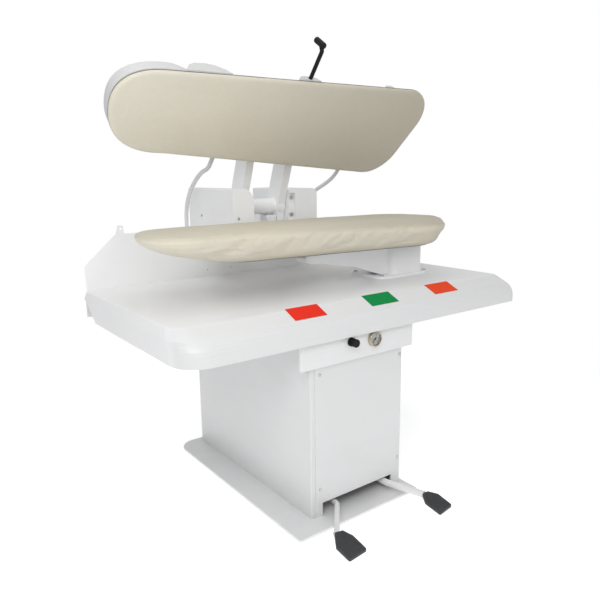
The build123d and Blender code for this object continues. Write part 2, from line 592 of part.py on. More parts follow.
mount = box(180, 612, 832, 840, 604, 676)
for x, z in rail_holes:
    mount -= cyl_y(830, 842, x, z, 4.2)
mount += box(500, 562, 840, 906, 634, 642) + prism_yz([(840, 604), (840, 634), (898, 634)], 528, 534)
mount += box(206, 220, 840, 872, 634, 642) + prism_yz([(840, 604), (840, 634), (866, 634)], 210, 216)
eye_b = Pos(SPR_X, PIVOT_Y + LEV * math.cos(half), 652) * Rot(90, 0, 0) * Torus(8, 2.6)
mount += box(211, 215, 858, 868, 640, 646)
mount += eye_b
put("cylinder_mount", mount)

cylb = cyl_z(642, 850, CYL_X, pin_y, 31) - cyl_z(654, 838, CYL_X, pin_y, 26)
cylb += box(CYL_X - 30, CYL_X + 30, pin_y - 30, pin_y + 30, 642, 654) + box(CYL_X - 30, CYL_X + 30, pin_y - 30, pin_y + 30, 838, 850)
cylb -= cyl_z(836, 860, CYL_X, pin_y, 8.05)
cylb += cyl_x(CYL_X + 31, CYL_X + 46, pin_y, 664, 6) + cyl_x(CYL_X + 31, CYL_X + 46, pin_y, 828, 6)
cylb += cyl_x(CYL_X + 28, CYL_X + 32, pin_y, 664, 6) + cyl_x(CYL_X + 28, CYL_X + 32, pin_y, 828, 6)
cylb -= cyl_z(654, 838, CYL_X, pin_y, 26)
put("cylinder_body", cylb)
put("cylinder_rod", cyl_z(672, 690, CYL_X, pin_y, 25.9) + cyl_z(690, pin_z - 27, CYL_X, pin_y, 8.0))
clev = box(CYL_X - 19, CYL_X + 19, pin_y - 12, pin_y + 12, pin_z - 34, pin_z + 11) - box(CYL_X - 10.5, CYL_X + 10.5, pin_y - 13, pin_y + 13, pin_z - 23, pin_z + 12)
clev -= cyl_z(pin_z - 35, pin_z - 27, CYL_X, pin_y, 8.0)
clev += cyl_x(CYL_X - 21, CYL_X + 21, pin_y, pin_z, 5.0)
put("rod_clevis", clev)

# levers built level, then turned to the open position
lev_l = cyl_x(204, 222, PIVOT_Y, PIVOT_Z, 33) + prism_yz([(PIVOT_Y + 5, PIVOT_Z - 24), (PIVOT_Y + LEV, PIVOT_Z - 12), (PIVOT_Y + LEV, PIVOT_Z + 12), (PIVOT_Y + 5, PIVOT_Z + 24)], 204, 222)
lev_l += cyl_x(204, 222, PIVOT_Y + LEV, PIVOT_Z, 12)
lev_l -= box(209, 217, PIVOT_Y + LEV - 14, PIVOT_Y + LEV + 14, PIVOT_Z - 14, PIVOT_Z + 14)
lev_l += cyl_x(204, 222, PIVOT_Y + LEV, PIVOT_Z, 5.0)
lev_r = cyl_x(522, 540, PIVOT_Y, PIVOT_Z, 33) + prism_yz([(PIVOT_Y + 5, PIVOT_Z - 21), (PIVOT_Y + 118, PIVOT_Z - 11.4), (PIVOT_Y + 118, PIVOT_Z + 11.4), (PIVOT_Y + 5, PIVOT_Z + 21)], 522, 540)
SLOT_HALF = 7.2
lev_r -= box(520, 542, PIVOT_Y + LEV - 2, PIVOT_Y + LEV / math.cos(half) + 6.4, PIVOT_Z - SLOT_HALF, PIVOT_Z + SLOT_HALF)
lev_r -= cyl_x(520, 542, PIVOT_Y + LEV - 2, PIVOT_Z, SLOT_HALF)
levers = lev_l + lev_r
levers -= cyl_x(200, 545, PIVOT_Y, PIVOT_Z, SHAFT_R)
levers = levers.rotate(Axis((0, PIVOT_Y, PIVOT_Z), (1, 0, 0)), -OPEN_DEG / 2)
put("rear_levers", levers)

spr_y = PIVOT_Y + LEV * math.cos(half)
spr_z1 = PIVOT_Z - LEV * math.sin(half)
hx0, hx1 = 672.0, spr_z1 - 26
helix = Helix(pitch=(hx1 - hx0) / 16, height=hx1 - hx0, radius=14, center=(SPR_X, spr_y, hx0))
spring = sweep(Plane(origin=helix @ 0, z_dir=helix % 0) * Circle(2.4), path=helix, is_frenet=True)
spring += cyl_z(hx0 - 4, hx0 + 2, SPR_X, spr_y, 13.2) + cyl_z(662.6, hx0, SPR_X, spr_y, 3)
spring += cyl_z(hx1 - 2, hx1 + 4, SPR_X, spr_y, 13.2) + cyl_z(hx1, spr_z1 - 5, SPR_X, spr_y, 3)
put("counterbalance_spring", spring)

# ------------------------------------------------------------------ pedals
put("pedal_shaft", cyl_x(150, 440, 215, 58, 8.0))
pb = None
for x0 in (142.0, 285.0, 440.0):
    p = box(x0, x0 + 8, 190, 240, BASE_T, 72) + box(x0 - 2, x0 + 10, 190, 240, BASE_T, BASE_T + 6)
    p -= cyl_x(x0 - 3, x0 + 12, 215, 58, 8.0) if x0 == 285.0 else cyl_x(x0 + 8, x0 + 12, 215, 58, 8.0)
    pb = p if pb is None else pb + p
put("pedal_brackets", pb)


def pedal(side):
    if side == "left":
        pts = [(196, 200, 50), (196, 120, 38), (190, 58, 34), (122, -22, 35), (79, -74, 38)]
        pad = [(71, -72), (99, -76), (109, -112), (102, -178), (32, -185), (36, -122)]
        hub = (184, 208)
    else:
        pts = [(402, 200, 50), (404, 120, 38), (412, 58, 34), (431, -8, 35), (448, -80, 38)]
        pad = [(440, -78), (465, -80), (482, -110), (472, -174), (406, -184), (413, -116)]
        hub = (390, 414)
    a = bar(pts, [30, 30, 34], 9) if side == "left" else bar(pts, [30, 30, 60], 11.5)
    a += cyl_x(hub[0], hub[1], 215, 58, 17)
    x, y, z = pts[-1]
    dx, dy = pts[-1][0] - pts[-2][0], pts[-1][1] - pts[-2][1]
    ln = math.hypot(dx, dy)
    dx, dy = dx / ln, dy / ln
    cx, cy = (pad[2][0] + pad[3][0] + pad[4][0] + pad[5][0]) / 4, (pad[2][1] + pad[3][1] + pad[4][1] + pad[5][1]) / 4
    plate = prism_xy([(cx + (px - cx) * 0.86, cy + (py - cy) * 0.9) for px, py in pad], 32.5, 36.5)
    plate += prism_xy([(pad[0][0] + 4, pad[0][1] + 14), (pad[1][0] - 4, pad[1][1] + 14), (pad[2][0] - 9, pad[2][1]), (pad[5][0] + 12, pad[5][1])], 32.5, 36.5)
    tilt = Axis((0, pad[0][1], 40), (1, 0, 0))
    plate = plate.rotate(tilt, 4)
    rub = prism_xy(pad, 36, 46)
    rub = fillet(rub.edges().filter_by(Axis.Z), 5)
    rub = rub.rotate(tilt, 4)
    rub = fillet(rub.faces().sort_by(Axis.Z)[-1].edges(), 2.5)
    arm_ = a + plate
    arm_ -= cyl_x(hub[0] - 1, hub[1] + 1, 215, 58, 8.05)
    return arm_, rub - arm_


for side in ("left", "right"):
    a, rub = pedal(side)
    rub = rub.solids().sort_by(SortBy.VOLUME)[-1] if len(rub.solids()) > 1 else rub
    put("pedal_%s_arm" % side, a)
    put("pedal_%s_pad" % side, rub)

valves = None
for x, z_tip in ((196.0, 28.0), (403.0, 26.0)):
    v = box(x - 16, x + 16, 128, 172, BASE_T + SHEET, 23) + cyl_z(23, z_tip, x, 150, 6)
    v += cyl_y(172, 184, x, 17, 4.5)
    valves = v if valves is None else valves + v
put("pedal_valves", valves)

# ------------------------------------------------------- services in the base
inlets = cyl_y(813.5, 850, 420, 130, 13.5) + cyl_y(813.5, 822, 420, 130, 18) + cyl_y(790, 813.5, 420, 130, 10)
inlets -= cyl_y(830, 851, 420, 130, 9.3)
inlets += cyl_y(813.5, 838, 160, 130, 9) + cyl_y(813.5, 818, 160, 130, 12) + cyl_y(796, 813.5, 160, 130, 7)
inlets -= cyl_y(820, 839, 160, 130, 4.05)
put("inlet_fittings", inlets)
rp = PARTS["rear_panel"]
rp -= cyl_y(800, 820, 420, 130, 10) + cyl_y(800, 820, 160, 130, 7) + cyl_y(800, 820, 420, 70, 10) + cyl_y(800, 820, 240, 300, 37)
put("rear_panel", rp)
steam = bar([(420, 790, 130), (420, 700, 130), (420, 700, 600), (735, 700, 600), (735, 477, 600), (735, 477, 689)], [40, 40, 40, 34], 9)
cab = PARTS["cabinet_shell"]
cab -= box(474, 490, 688, 712, 588, 612)
trap = cyl_y(745, 813.5, 420, 70, 10) + cyl_y(813.5, 850, 420, 70, 13.5) + cyl_y(660, 745, 420, 70, 26) + cyl_y(640, 660, 420, 70, 9)
trap -= cyl_y(830, 851, 420, 70, 9.3)
put("steam_pipe", steam)
put("steam_trap", trap)

duct = bar([(805, 430, 677), (805, 430, 620), (805, 520, 620)], [28], 26) if False else cyl_z(600, 689, 805, 430, 30) - cyl_z(604, 690, 805, 430, 28)
duct += cyl_x(300, 800, 430, 612, 26) - cyl_z(604, 690, 805, 430, 28) - cyl_x(302, 790, 430, 612, 24)
duct += cyl_z(300, 620, 300, 430, 30) - cyl_z(302, 618, 300, 430, 28) - cyl_x(302, 340, 430, 612, 24)
duct += cyl_y(430, 814, 240, 300, 36.5) + cyl_y(813.5, 850, 240, 300, 38) + box(238, 330, 404, 456, 262, 338)
duct -= cyl_y(432, 851, 240, 300, 34.5)
put("vacuum_duct", duct)
cab -= cyl_x(474, 490, 430, 612, 26.2)
put("cabinet_shell", cab)

vb = box(140, 230, 360, 420, BASE_T, 64)
for k in range(3):
    vb += cyl_z(64, 100, 158 + 27 * k, 390, 10)
put("valve_block", vb)
cb = box(98, 106, 560, 700, 180, 400) + box(106, 170, 566, 694, 186, 394)
cb = fillet(cb.edges().filter_by(Axis.X), 4)
put("control_box", cb)

# -------------------------------------------------------------------- head
def nose(x, near, far):
    """near on the nose, far along the wide part."""
    return near + (far - near) * smooth((x + 120.0) / 90.0)


face_pad = slab(HEAD_LOOP, HEAD_FACE, 929)
CAVITY = 60.0
h_chest = slab(inset(HEAD_LOOP, CAVITY), 929, 964) - slab(inset(HEAD_LOOP, CAVITY + 12), 939, 954)
h_chest += box(60, 74, 280, 450, 939, 954) + box(360, 374, 280, 480, 939, 954) + box(660, 674, 280, 500, 939, 954)
face_pad = fillet(face_pad.faces().sort_by(Axis.Z)[0].edges(), 5)
put("head_pad", to_open(face_pad))

low = inset(HEAD_LOOP, lambda x, y: nose(x, 5.0, 5.0))
rim = inset(HEAD_LOOP, lambda x, y: nose(x, 5.0, 18.0))
mid = inset(HEAD_LOOP, lambda x, y: nose(x, 6.0, 44.0))
high = inset(HEAD_LOOP, lambda x, y: nose(x, 18.0, 66.0))
cov = loft([spline_face(low, 929), spline_face(rim, 944), spline_face(mid, 968), spline_face(high, 985)], ruled=True)


def front_y(x):
    best = None
    n = len(HEAD_LOOP)
    for i in range(n):
        a, b = HEAD_LOOP[i], HEAD_LOOP[(i + 1) % n]
        if (a[0] - x) * (b[0] - x) <= 0 and abs(a[0] - b[0]) > 1e-6:
            y = a[1] + (b[1] - a[1]) * (x - a[0]) / (b[0] - a[0])
            best = y if best is None or y < best else best
    return best


# cast lugs on the front edge: a long low one, the handle boss and a small one
lug_y = front_y(-10)
lug = prism_xz([(-92, 929.5), (-74, 958), (-50, 972), (-10, 976), (20, 970), (48, 952), (66, 929.5)], lug_y + 2, lug_y + 56)
cov += lug
hx = 366.0
hy = front_y(hx)
boss = prism_xz([(hx - 44, 929.5), (hx - 34, 946), (hx - 16, 953), (hx + 20, 953), (hx + 38, 944), (hx + 48, 929.5)], hy + 1, hy + 44)
cov += boss
sx_ = 742.0
sy_ = front_y(sx_)
cov += prism_xz([(sx_ - 22, 929.5), (sx_ - 14, 942), (sx_ + 14, 942), (sx_ + 22, 929.5)], sy_ + 2, sy_ + 44)
# steam connections on the rear edge
cov += cyl_y(442, 548, 116, 972, 9) + cyl_y(520, 534, 116, 972, 13)
cov += cyl_y(520, 590, 718, 962, 9) + cyl_y(574, 586, 718, 962, 13)
cov -= slab(inset(HEAD_LOOP, CAVITY), 920, 972)
arm_r = bar([(371, hy + 30, 944), (371, hy - 6, 939), (349, 92, 912), (349, 78, 932)], [26, 8], 7)
grip = Pos(349, 77.5, 936) * Rot(-4, 0, 0) * Cylinder(10.5, 50)
grip = fillet(grip.edges().filter_by(GeomType.CIRCLE), 4)

yoke = None
for xa, xb in ((268.0, 300.0), (445.0, 479.0)):
    beam = prism_yz([(776, 990), (700, 1018), (604, 1046), (545, 1054), (334, 1030), (326, 985), (556, 985), (600, 968), (700, 936), (776, 906)], xa, xb)
    beam += cyl_x(xa, xb, PIVOT_Y, PIVOT_Z, 44)
    yoke = beam if yoke is None else yoke + beam
yoke += cyl_x(299, 446, PIVOT_Y, PIVOT_Z, 31)
yoke += box(299, 446, 352, 386, 985, 1014)
yoke = to_open(yoke)
for xa, xb in ((268.0, 300.0), (445.0, 479.0)):            # cheeks below the pivot
    yoke += prism_yz([(738, 944), (745, 876), (807, 876), (814, 944)], xa, xb)
yoke += box(400, 428, 778.4, 798, 878, 948)
yoke -= cyl_x(250, 490, PIVOT_Y, PIVOT_Z, SHAFT_R)
put("yoke", yoke)
put("pivot_shaft", cyl_x(190, 550, PIVOT_Y, PIVOT_Z, SHAFT_R))

arm_only = arm_r - grip
cov -= arm_r
put("handle_arm", to_open(arm_only))
put("handle_grip", to_open(grip))
put("head_chest", to_open(h_chest))
put("head_cover", to_open(cov))

# ------------------------------------------------------------------- hoses
HOSE_R = 8.0


def opened(x, y, z):
    a = math.radians(-OPEN_DEG)
    dy, dz = y - PIVOT_Y, z - PIVOT_Z
    return (x, PIVOT_Y + dy * math.cos(a) - dz * math.sin(a), PIVOT_Z + dy * math.sin(a) + dz * math.cos(a))


HOSE_L = [(138.0, 938.0, 828.1), (138.0, 938.0, 868.0), (136.0, 934.0, 912.0), (132.0, 916.0, 956.0), (125.0, 880.0, 997.0),
          (117.0, 826.0, 1036.0), (111.0, 768.0, 1069.0), (112.0, 726.0, 1089.0), opened(116.0, 604.0, 972.0), opened(116.0, 548.1, 972.0)]
HOSE_RT = [(647.0, 850.0, 878.1), (647.0, 850.0, 912.0), (652.0, 842.0, 946.0), (664.0, 816.0, 980.0), (681.0, 776.0, 1010.0),
           (702.0, 738.0, 1035.0), opened(718.0, 634.0, 962.0), opened(718.0, 590.1, 962.0)]


def hose(points):
    runs = [math.dist(a, b) for a, b in zip(points, points[1:])]
    radii = []
    for i in range(1, len(points) - 1):
        u = Vector(*points[i]) - Vector(*points[i - 1])
        v = Vector(*points[i + 1]) - Vector(*points[i])
        turn = math.radians(u.get_angle(v))
        radii.append(0.45 * min(runs[i - 1], runs[i]) / math.tan(turn / 2))
    print("hose runs", [round(r) for r in runs], "radii", [round(r) for r in radii])
    return bar(points, radii, HOSE_R)


for nm, pts in (("hose_left", HOSE_L), ("hose_right", HOSE_RT)):
    h = hose(pts)
    print(nm, "volume", round(h.volume), "length", round(sum(math.dist(a, b) for a, b in zip(pts, pts[1:]))),
          "tube length", round(h.volume / (math.pi * HOSE_R ** 2)))
    put(nm, h)

# ------------------------------------------------------------------ export
os.makedirs("parts", exist_ok=True)
for old in os.listdir("parts"):
    if old.endswith(".step"):
        os.remove(os.path.join("parts", old))
for name, shape in PARTS.items():
    solids = shape.solids()
    moved = [q.translate((-ORIGIN_X, -ORIGIN_Y, 0), transform=True) for q in solids]
    body = moved[0] if len(moved) == 1 else Compound(moved)
    export_step(body, os.path.join("parts", name + ".step"))
print(len(PARTS), "nodes; rod stroke", round(STROKE, 3), "coupling m/rad", round(STROKE / 1000 / math.radians(OPEN_DEG), 6))
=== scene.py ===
import json
import math
import bmesh
import bpy
from mathutils import Matrix, Vector, noise


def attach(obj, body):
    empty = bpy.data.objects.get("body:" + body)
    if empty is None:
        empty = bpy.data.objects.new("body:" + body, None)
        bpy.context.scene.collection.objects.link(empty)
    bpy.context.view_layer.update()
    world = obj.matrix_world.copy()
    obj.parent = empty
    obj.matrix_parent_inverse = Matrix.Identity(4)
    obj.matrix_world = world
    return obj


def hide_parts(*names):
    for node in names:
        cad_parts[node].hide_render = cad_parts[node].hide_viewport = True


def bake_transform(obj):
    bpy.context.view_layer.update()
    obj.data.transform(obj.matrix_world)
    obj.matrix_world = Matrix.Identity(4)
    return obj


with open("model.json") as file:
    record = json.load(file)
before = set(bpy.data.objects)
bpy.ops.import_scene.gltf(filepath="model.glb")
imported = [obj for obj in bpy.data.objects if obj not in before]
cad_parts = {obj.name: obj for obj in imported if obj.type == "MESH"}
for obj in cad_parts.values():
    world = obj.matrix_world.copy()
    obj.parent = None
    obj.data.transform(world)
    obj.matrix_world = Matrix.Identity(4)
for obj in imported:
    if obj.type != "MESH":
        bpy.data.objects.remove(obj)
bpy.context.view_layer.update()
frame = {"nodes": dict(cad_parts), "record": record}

nodes = frame["nodes"]

# Layout millimetres (the drawing's corner of the base plate) to the row frame.
OX, OY = 289.0, 441.0
PIVOT = (776.0, 948.0)
OPEN = math.radians(-51.6)


def P(x, y, z):
    return Vector(((x - OX) / 1000, (y - OY) / 1000, z / 1000))


def opened(x, y, z):
    dy, dz = y - PIVOT[0], z - PIVOT[1]
    c, s = math.cos(OPEN), math.sin(OPEN)
    return P(x, PIVOT[0] + dy * c - dz * s, PIVOT[1] + dy * s + dz * c)


# ------------------------------------------------------------------ camera
YAW, PITCH, ROLL = math.radians(36.3606), math.radians(12.0075), math.radians(-0.73663)
fwd = Vector((math.sin(YAW) * math.cos(PITCH), math.cos(YAW) * math.cos(PITCH), -math.sin(PITCH)))
right0 = Vector((math.cos(YAW), -math.sin(YAW), 0.0))
up0 = right0.cross(fwd)
right = right0 * math.cos(ROLL) + up0 * math.sin(ROLL)
up = -right0 * math.sin(ROLL) + up0 * math.cos(ROLL)
cam_data = bpy.data.cameras.new("camera")
cam_data.sensor_width = 36.0
cam_data.lens = 36.032
cam_data.clip_end = 60
cam = bpy.data.objects.new("camera", cam_data)
bpy.context.scene.collection.objects.link(cam)
m = Matrix((right, up, -fwd)).transposed().to_4x4()
m.translation = P(-940.2, -1290.3, 1080.0)
cam.matrix_world = m
bpy.context.scene.camera = cam
bpy.context.scene.view_settings.view_transform = "Standard"
bpy.context.scene.view_settings.look = "None"


# ----------------------------------------------------------- node helpers
def new_mat(name):
    mat = bpy.data.materials.new(name)
    mat.use_nodes = True
    nt = mat.node_tree
    nt.nodes.clear()
    out = nt.nodes.new("ShaderNodeOutputMaterial")
    bsdf = nt.nodes.new("ShaderNodeBsdfPrincipled")
    nt.links.new(bsdf.outputs[0], out.inputs[0])
    return mat, nt, bsdf


def coords(nt, scale=(1, 1, 1)):
    tc = nt.nodes.new("ShaderNodeTexCoord")
    mp = nt.nodes.new("ShaderNodeMapping")
    mp.inputs["Scale"].default_value = scale
    nt.links.new(tc.outputs["Object"], mp.inputs["Vector"])
    return mp.outputs[0]


def noise_tex(nt, vec, scale, detail=3.0, rough=0.55, distortion=0.0):
    n = nt.nodes.new("ShaderNodeTexNoise")
    n.inputs["Scale"].default_value = scale
    n.inputs["Detail"].default_value = detail
    n.inputs["Roughness"].default_value = rough
    n.inputs["Distortion"].default_value = distortion
    nt.links.new(vec, n.inputs["Vector"])
    return n.outputs["Fac"]


def wave_tex(nt, vec, scale, axis="X", distortion=0.0, detail=1.0, dscale=1.0, profile="SIN"):
    w = nt.nodes.new("ShaderNodeTexWave")
    w.wave_type = "BANDS"
    w.bands_direction = axis
    w.wave_profile = profile
    w.inputs["Scale"].default_value = scale
    w.inputs["Distortion"].default_value = distortion
    w.inputs["Detail"].default_value = detail
    w.inputs["Detail Scale"].default_value = dscale
    nt.links.new(vec, w.inputs["Vector"])
    return w.outputs["Fac"]


def ramp(nt, fac, stops):
    r = nt.nodes.new("ShaderNodeValToRGB")
    cr = r.color_ramp
    while len(cr.elements) < len(stops):
        cr.elements.new(0.5)
    for e, (pos, col) in zip(cr.elements, stops):
        e.position = pos
        e.color = (*col, 1.0) if len(col) == 3 else col
    nt.links.new(fac, r.inputs[0])
    return r.outputs[0]


def map_range(nt, fac, a, b, c, d):
    n = nt.nodes.new("ShaderNodeMapRange")
    n.inputs["From Min"].default_value = a
    n.inputs["From Max"].default_value = b
    n.inputs["To Min"].default_value = c
    n.inputs["To Max"].default_value = d
    nt.links.new(fac, n.inputs["Value"])
    return n.outputs[0]


def math_node(nt, op, a, b=None, clamp=False):
    n = nt.nodes.new("ShaderNodeMath")
    n.operation = op
    n.use_clamp = clamp
    for i, v in enumerate((a, b)):
        if v is None:
            continue
        if isinstance(v, (int, float)):
            n.inputs[i].default_value = v
        else:
            nt.links.new(v, n.inputs[i])
    return n.outputs[0]


def mix_col(nt, fac, a, b, mode="MIX"):
    n = nt.nodes.new("ShaderNodeMix")
    n.data_type = "RGBA"
    n.blend_type = mode
    if isinstance(fac, (int, float)):
        n.inputs["Factor"].default_value = fac
    else:
        nt.links.new(fac, n.inputs["Factor"])
    for key, v in (("A", a), ("B", b)):
        sock = [s for s in n.inputs if s.name == key and s.type == "RGBA"][0]
        if isinstance(v, tuple):
            sock.default_value = (*v, 1.0)
        else:
            nt.links.new(v, sock)
    return [s for s in n.outputs if s.type == "RGBA"][0]


def bump(nt, height, strength, distance, normal=None):
    b = nt.nodes.new("ShaderNodeBump")
    b.inputs["Strength"].default_value = strength
    b.inputs["Distance"].default_value = distance
    nt.links.new(height, b.inputs["Height"])
    if normal is not None:
        nt.links.new(normal, b.inputs["Normal"])
    return b.outputs[0]


def axis_of(nt, vec, axis):
    s = nt.nodes.new("ShaderNodeSeparateXYZ")
    nt.links.new(vec, s.inputs[0])
    return s.outputs[axis]


# -------------------------------------------------------------- materials
def paint(name, col, rough=0.33, scuffs=0.0, peel=1.0, low_dirt=0.0, painted_front_shade=1.0):
    """Baked enamel over sheet steel: orange peel, faint cloudiness, rub marks, and optional painted shade that darkens
    faces turned to the front.
    """
    mat, nt, b = new_mat(name)
    v = coords(nt)
    cloud = noise_tex(nt, v, 3.2, 4, 0.6)
    base = ramp(nt, cloud, [(0.3, tuple(c * 0.975 for c in col)), (0.7, col)])
    rub = noise_tex(nt, coords(nt, (2.2, 2.2, 7)), 3.0, 4, 0.5, 0.4)
    rubm = map_range(nt, rub, 0.50, 0.78, 0.0, 0.30 + scuffs)
    base = mix_col(nt, rubm, base, tuple(c * 0.93 for c in col))
    if low_dirt:
        z = axis_of(nt, v, 2)
        near = map_range(nt, z, 0.0, 0.10, 1.0, 0.0)
        dust = noise_tex(nt, v, 24, 6, 0.7)
        near = math_node(nt, "MULTIPLY", near, map_range(nt, dust, 0.35, 0.75, 0.0, low_dirt), True)
        base = mix_col(nt, near, base, (0.47, 0.45, 0.42))
    # painted shade: faces whose normal points to the front (-Y) are darkened, standing in for less light on the front
    # lip
    if painted_front_shade < 1.0:
        tc = nt.nodes.new("ShaderNodeTexCoord")
        front_shade_mask = map_range(nt, axis_of(nt, tc.outputs["Normal"], 1), -0.12, -0.46, 0.0, 1.0)
        base = mix_col(nt, front_shade_mask, base, tuple(c * painted_front_shade for c in col))
    nt.links.new(base, b.inputs["Base Color"])
    r = math_node(nt, "ADD", map_range(nt, noise_tex(nt, v, 9, 5, 0.6), 0.3, 0.75, rough - 0.05, rough + 0.08), math_node(nt, "MULTIPLY", rubm, 0.25))
    nt.links.new(r, b.inputs["Roughness"])
    b.inputs["IOR"].default_value = 1.5
    b.inputs["Coat Weight"].default_value = 0.15
    b.inputs["Coat Roughness"].default_value = 0.12
    h = noise_tex(nt, v, 420, 2, 0.5)
    n1 = bump(nt, h, 0.12 * peel, 0.0006)
    n2 = bump(nt, noise_tex(nt, v, 5.5, 2, 0.5), 0.10, 0.004, n1)
    nt.links.new(n2, b.inputs["Normal"])
    return mat


def metal(name, col, rough=0.3, brushed=None, aged=0.4, aniso=0.0):
    mat, nt, b = new_mat(name)
    v = coords(nt)
    c = ramp(nt, noise_tex(nt, v, 14, 6, 0.65), [(0.3, tuple(x * (1 - 0.25 * aged) for x in col)), (0.7, col)])
    nt.links.new(c, b.inputs["Base Color"])
    b.inputs["Metallic"].default_value = 1.0
    r = map_range(nt, noise_tex(nt, v, 40, 6, 0.7), 0.3, 0.75, max(0.05, rough - 0.08), rough + 0.14)
    nt.links.new(r, b.inputs["Roughness"])
    sc = {"x": (4, 260, 260), "y": (260, 4, 260), "z": (260, 260, 4)}.get(brushed, (120, 120, 120))
    h = noise_tex(nt, coords(nt, sc), 1.0, 3, 0.6)
    nt.links.new(bump(nt, h, 0.22, 0.0004), b.inputs["Normal"])
    if aniso:
        b.inputs["Anisotropic"].default_value = aniso
    return mat


def cloth(name, tint, shade, weave=1150.0, plane="XY", stain=0.5, painted_shade_along_x=None, painted_shade_top_hem=None):
    """Plain woven cover: threads both ways, slubs, a little fuzz, with optional painted shade on the top face, on the
    turned-under hem and towards the wide end.
    """
    mat, nt, b = new_mat(name)
    v = coords(nt)
    if plane == "XY":
        a1, a2 = "X", "Y"
        vw = v
    else:                                       # the head's face, tilted about X
        a1, a2 = "X", "Y"
        mp = nt.nodes.new("ShaderNodeMapping")
        mp.inputs["Rotation"].default_value = (-OPEN, 0, 0)
        nt.links.new(v, mp.inputs["Vector"])
        vw = mp.outputs[0]
    warp = wave_tex(nt, vw, weave, a1, 0.35, 2, 0.4)
    weft = wave_tex(nt, vw, weave * 0.93, a2, 0.35, 2, 0.4)
    wz = wave_tex(nt, vw, weave * 0.93, "Z", 0.35, 2, 0.4)
    weft = math_node(nt, "MAXIMUM", weft, math_node(nt, "MULTIPLY", wz, 0.8))
    th = math_node(nt, "MULTIPLY", warp, weft)
    slub = noise_tex(nt, coords(nt, (30, 240, 240)), 1.0, 4, 0.6)
    slub2 = noise_tex(nt, coords(nt, (240, 30, 30)), 1.0, 4, 0.6)
    big = noise_tex(nt, v, 2.6, 5, 0.6, 0.4)
    mid = noise_tex(nt, coords(nt, (9, 16, 16)), 1.0, 5, 0.62, 0.8)
    base = ramp(nt, big, [(0.30, shade), (0.72, tint)])
    worn = tuple(0.55 * s + 0.45 * t * 0.93 for s, t in zip(shade, tint))
    base = mix_col(nt, map_range(nt, mid, 0.52, 0.78, 0.0, stain), base, worn)
    base = mix_col(nt, map_range(nt, th, 0.0, 0.8, 0.20, 0.0), base, tuple(x * 0.70 for x in shade))
    base = mix_col(nt, map_range(nt, math_node(nt, "MULTIPLY", slub, slub2), 0.30, 0.42, 0.0, 0.20), base, tuple(min(1, x * 1.12) for x in tint))
    if painted_shade_along_x is not None:                       # painted shade: darker towards the wide end, standing in for light falling from the left
        x0, x1, dark = painted_shade_along_x
        shade_drift = math_node(nt, "ADD", axis_of(nt, v, 0), map_range(nt, big, 0.3, 0.7, -0.05, 0.05))
        base = mix_col(nt, map_range(nt, shade_drift, x0, x1, 0.0, 1.0), base, dark, "MULTIPLY")
    if painted_shade_top_hem is not None:                     # painted shade: darker top face and darker turned-under hem
        z0, z1, dark = painted_shade_top_hem
        zw = math_node(nt, "ADD", axis_of(nt, v, 2), map_range(nt, noise_tex(nt, coords(nt, (5, 5, 14)), 1.0, 4, 0.6), 0.3, 0.7, -0.008, 0.008))
        # painted shade where the cloth turns under at the bottom
        base = mix_col(nt, map_range(nt, zw, 0.812, 0.828, 0.55, 0.0), base, (0.80, 0.775, 0.68), "MULTIPLY")
        # painted shade on the top face, its edge dropping along the rolled front
        lift = map_range(nt, axis_of(nt, v, 0), -0.25, 0.60, 0.0, 0.022)
        base = mix_col(nt, map_range(nt, math_node(nt, "ADD", axis_of(nt, v, 2), lift), z0, z1, 0.0, 1.0), base, dark, "MULTIPLY")
    nt.links.new(base, b.inputs["Base Color"])
    nt.links.new(map_range(nt, mid, 0.3, 0.8, 0.82, 0.94), b.inputs["Roughness"])
    b.inputs["Sheen Weight"].default_value = 0.25
    b.inputs["Sheen Roughness"].default_value = 0.5
    b.inputs["Sheen Tint"].default_value = (1.0, 0.98, 0.93, 1.0)
    b.inputs["Specular IOR Level"].default_value = 0.25
    n1 = bump(nt, th, 0.35, 0.0004)
    n2 = bump(nt, math_node(nt, "ADD", slub, slub2), 0.22, 0.0008, n1)
    n3 = bump(nt, mid, 0.30, 0.003, n2)
    nt.links.new(n3, b.inputs["Normal"])
    return mat


def plastic(name, col, rough=0.3, grain=0.0, coat=0.0, sss=0.0, specks=None, spec=0.5):
    mat, nt, b = new_mat(name)
    v = coords(nt)
    c = ramp(nt, noise_tex(nt, v, 30, 5, 0.6), [(0.3, tuple(x * 0.93 for x in col)), (0.7, col)])
    if specks is not None:
        f = noise_tex(nt, v, 160, 6, 0.75)
        c = mix_col(nt, map_range(nt, f, 0.62, 0.72, 0.0, 0.7), c, specks)
    nt.links.new(c, b.inputs["Base Color"])
    nt.links.new(map_range(nt, noise_tex(nt, v, 60, 6, 0.65), 0.3, 0.75, max(0.03, rough - 0.07), rough + 0.12), b.inputs["Roughness"])
    b.inputs["Coat Weight"].default_value = coat
    b.inputs["Coat Roughness"].default_value = 0.08
    b.inputs["Specular IOR Level"].default_value = spec
    if sss:
        b.inputs["Subsurface Weight"].default_value = sss
        b.inputs["Subsurface Scale"].default_value = 0.004
    fine = noise_tex(nt, v, 900 if grain < 0.5 else 620, 3, 0.6)
    nt.links.new(bump(nt, fine, 0.08 + 0.45 * grain, 0.0003 + 0.0005 * grain), b.inputs["Normal"])
    return mat


WHITE = (0.800, 0.802, 0.804)
M_paint = paint("white_enamel", WHITE)
M_paint_low = paint("white_enamel_base", WHITE, low_dirt=0.10)
# painted light: the table's white enamel is a brighter copy (0.88) offsetting the buck's shadow on the top, with
# painted shade (x0.84) on its front-facing faces
M_paint_table_brightened = paint("white_enamel_table_brightened", (0.88, 0.882, 0.884), rough=0.36, painted_front_shade=0.84)
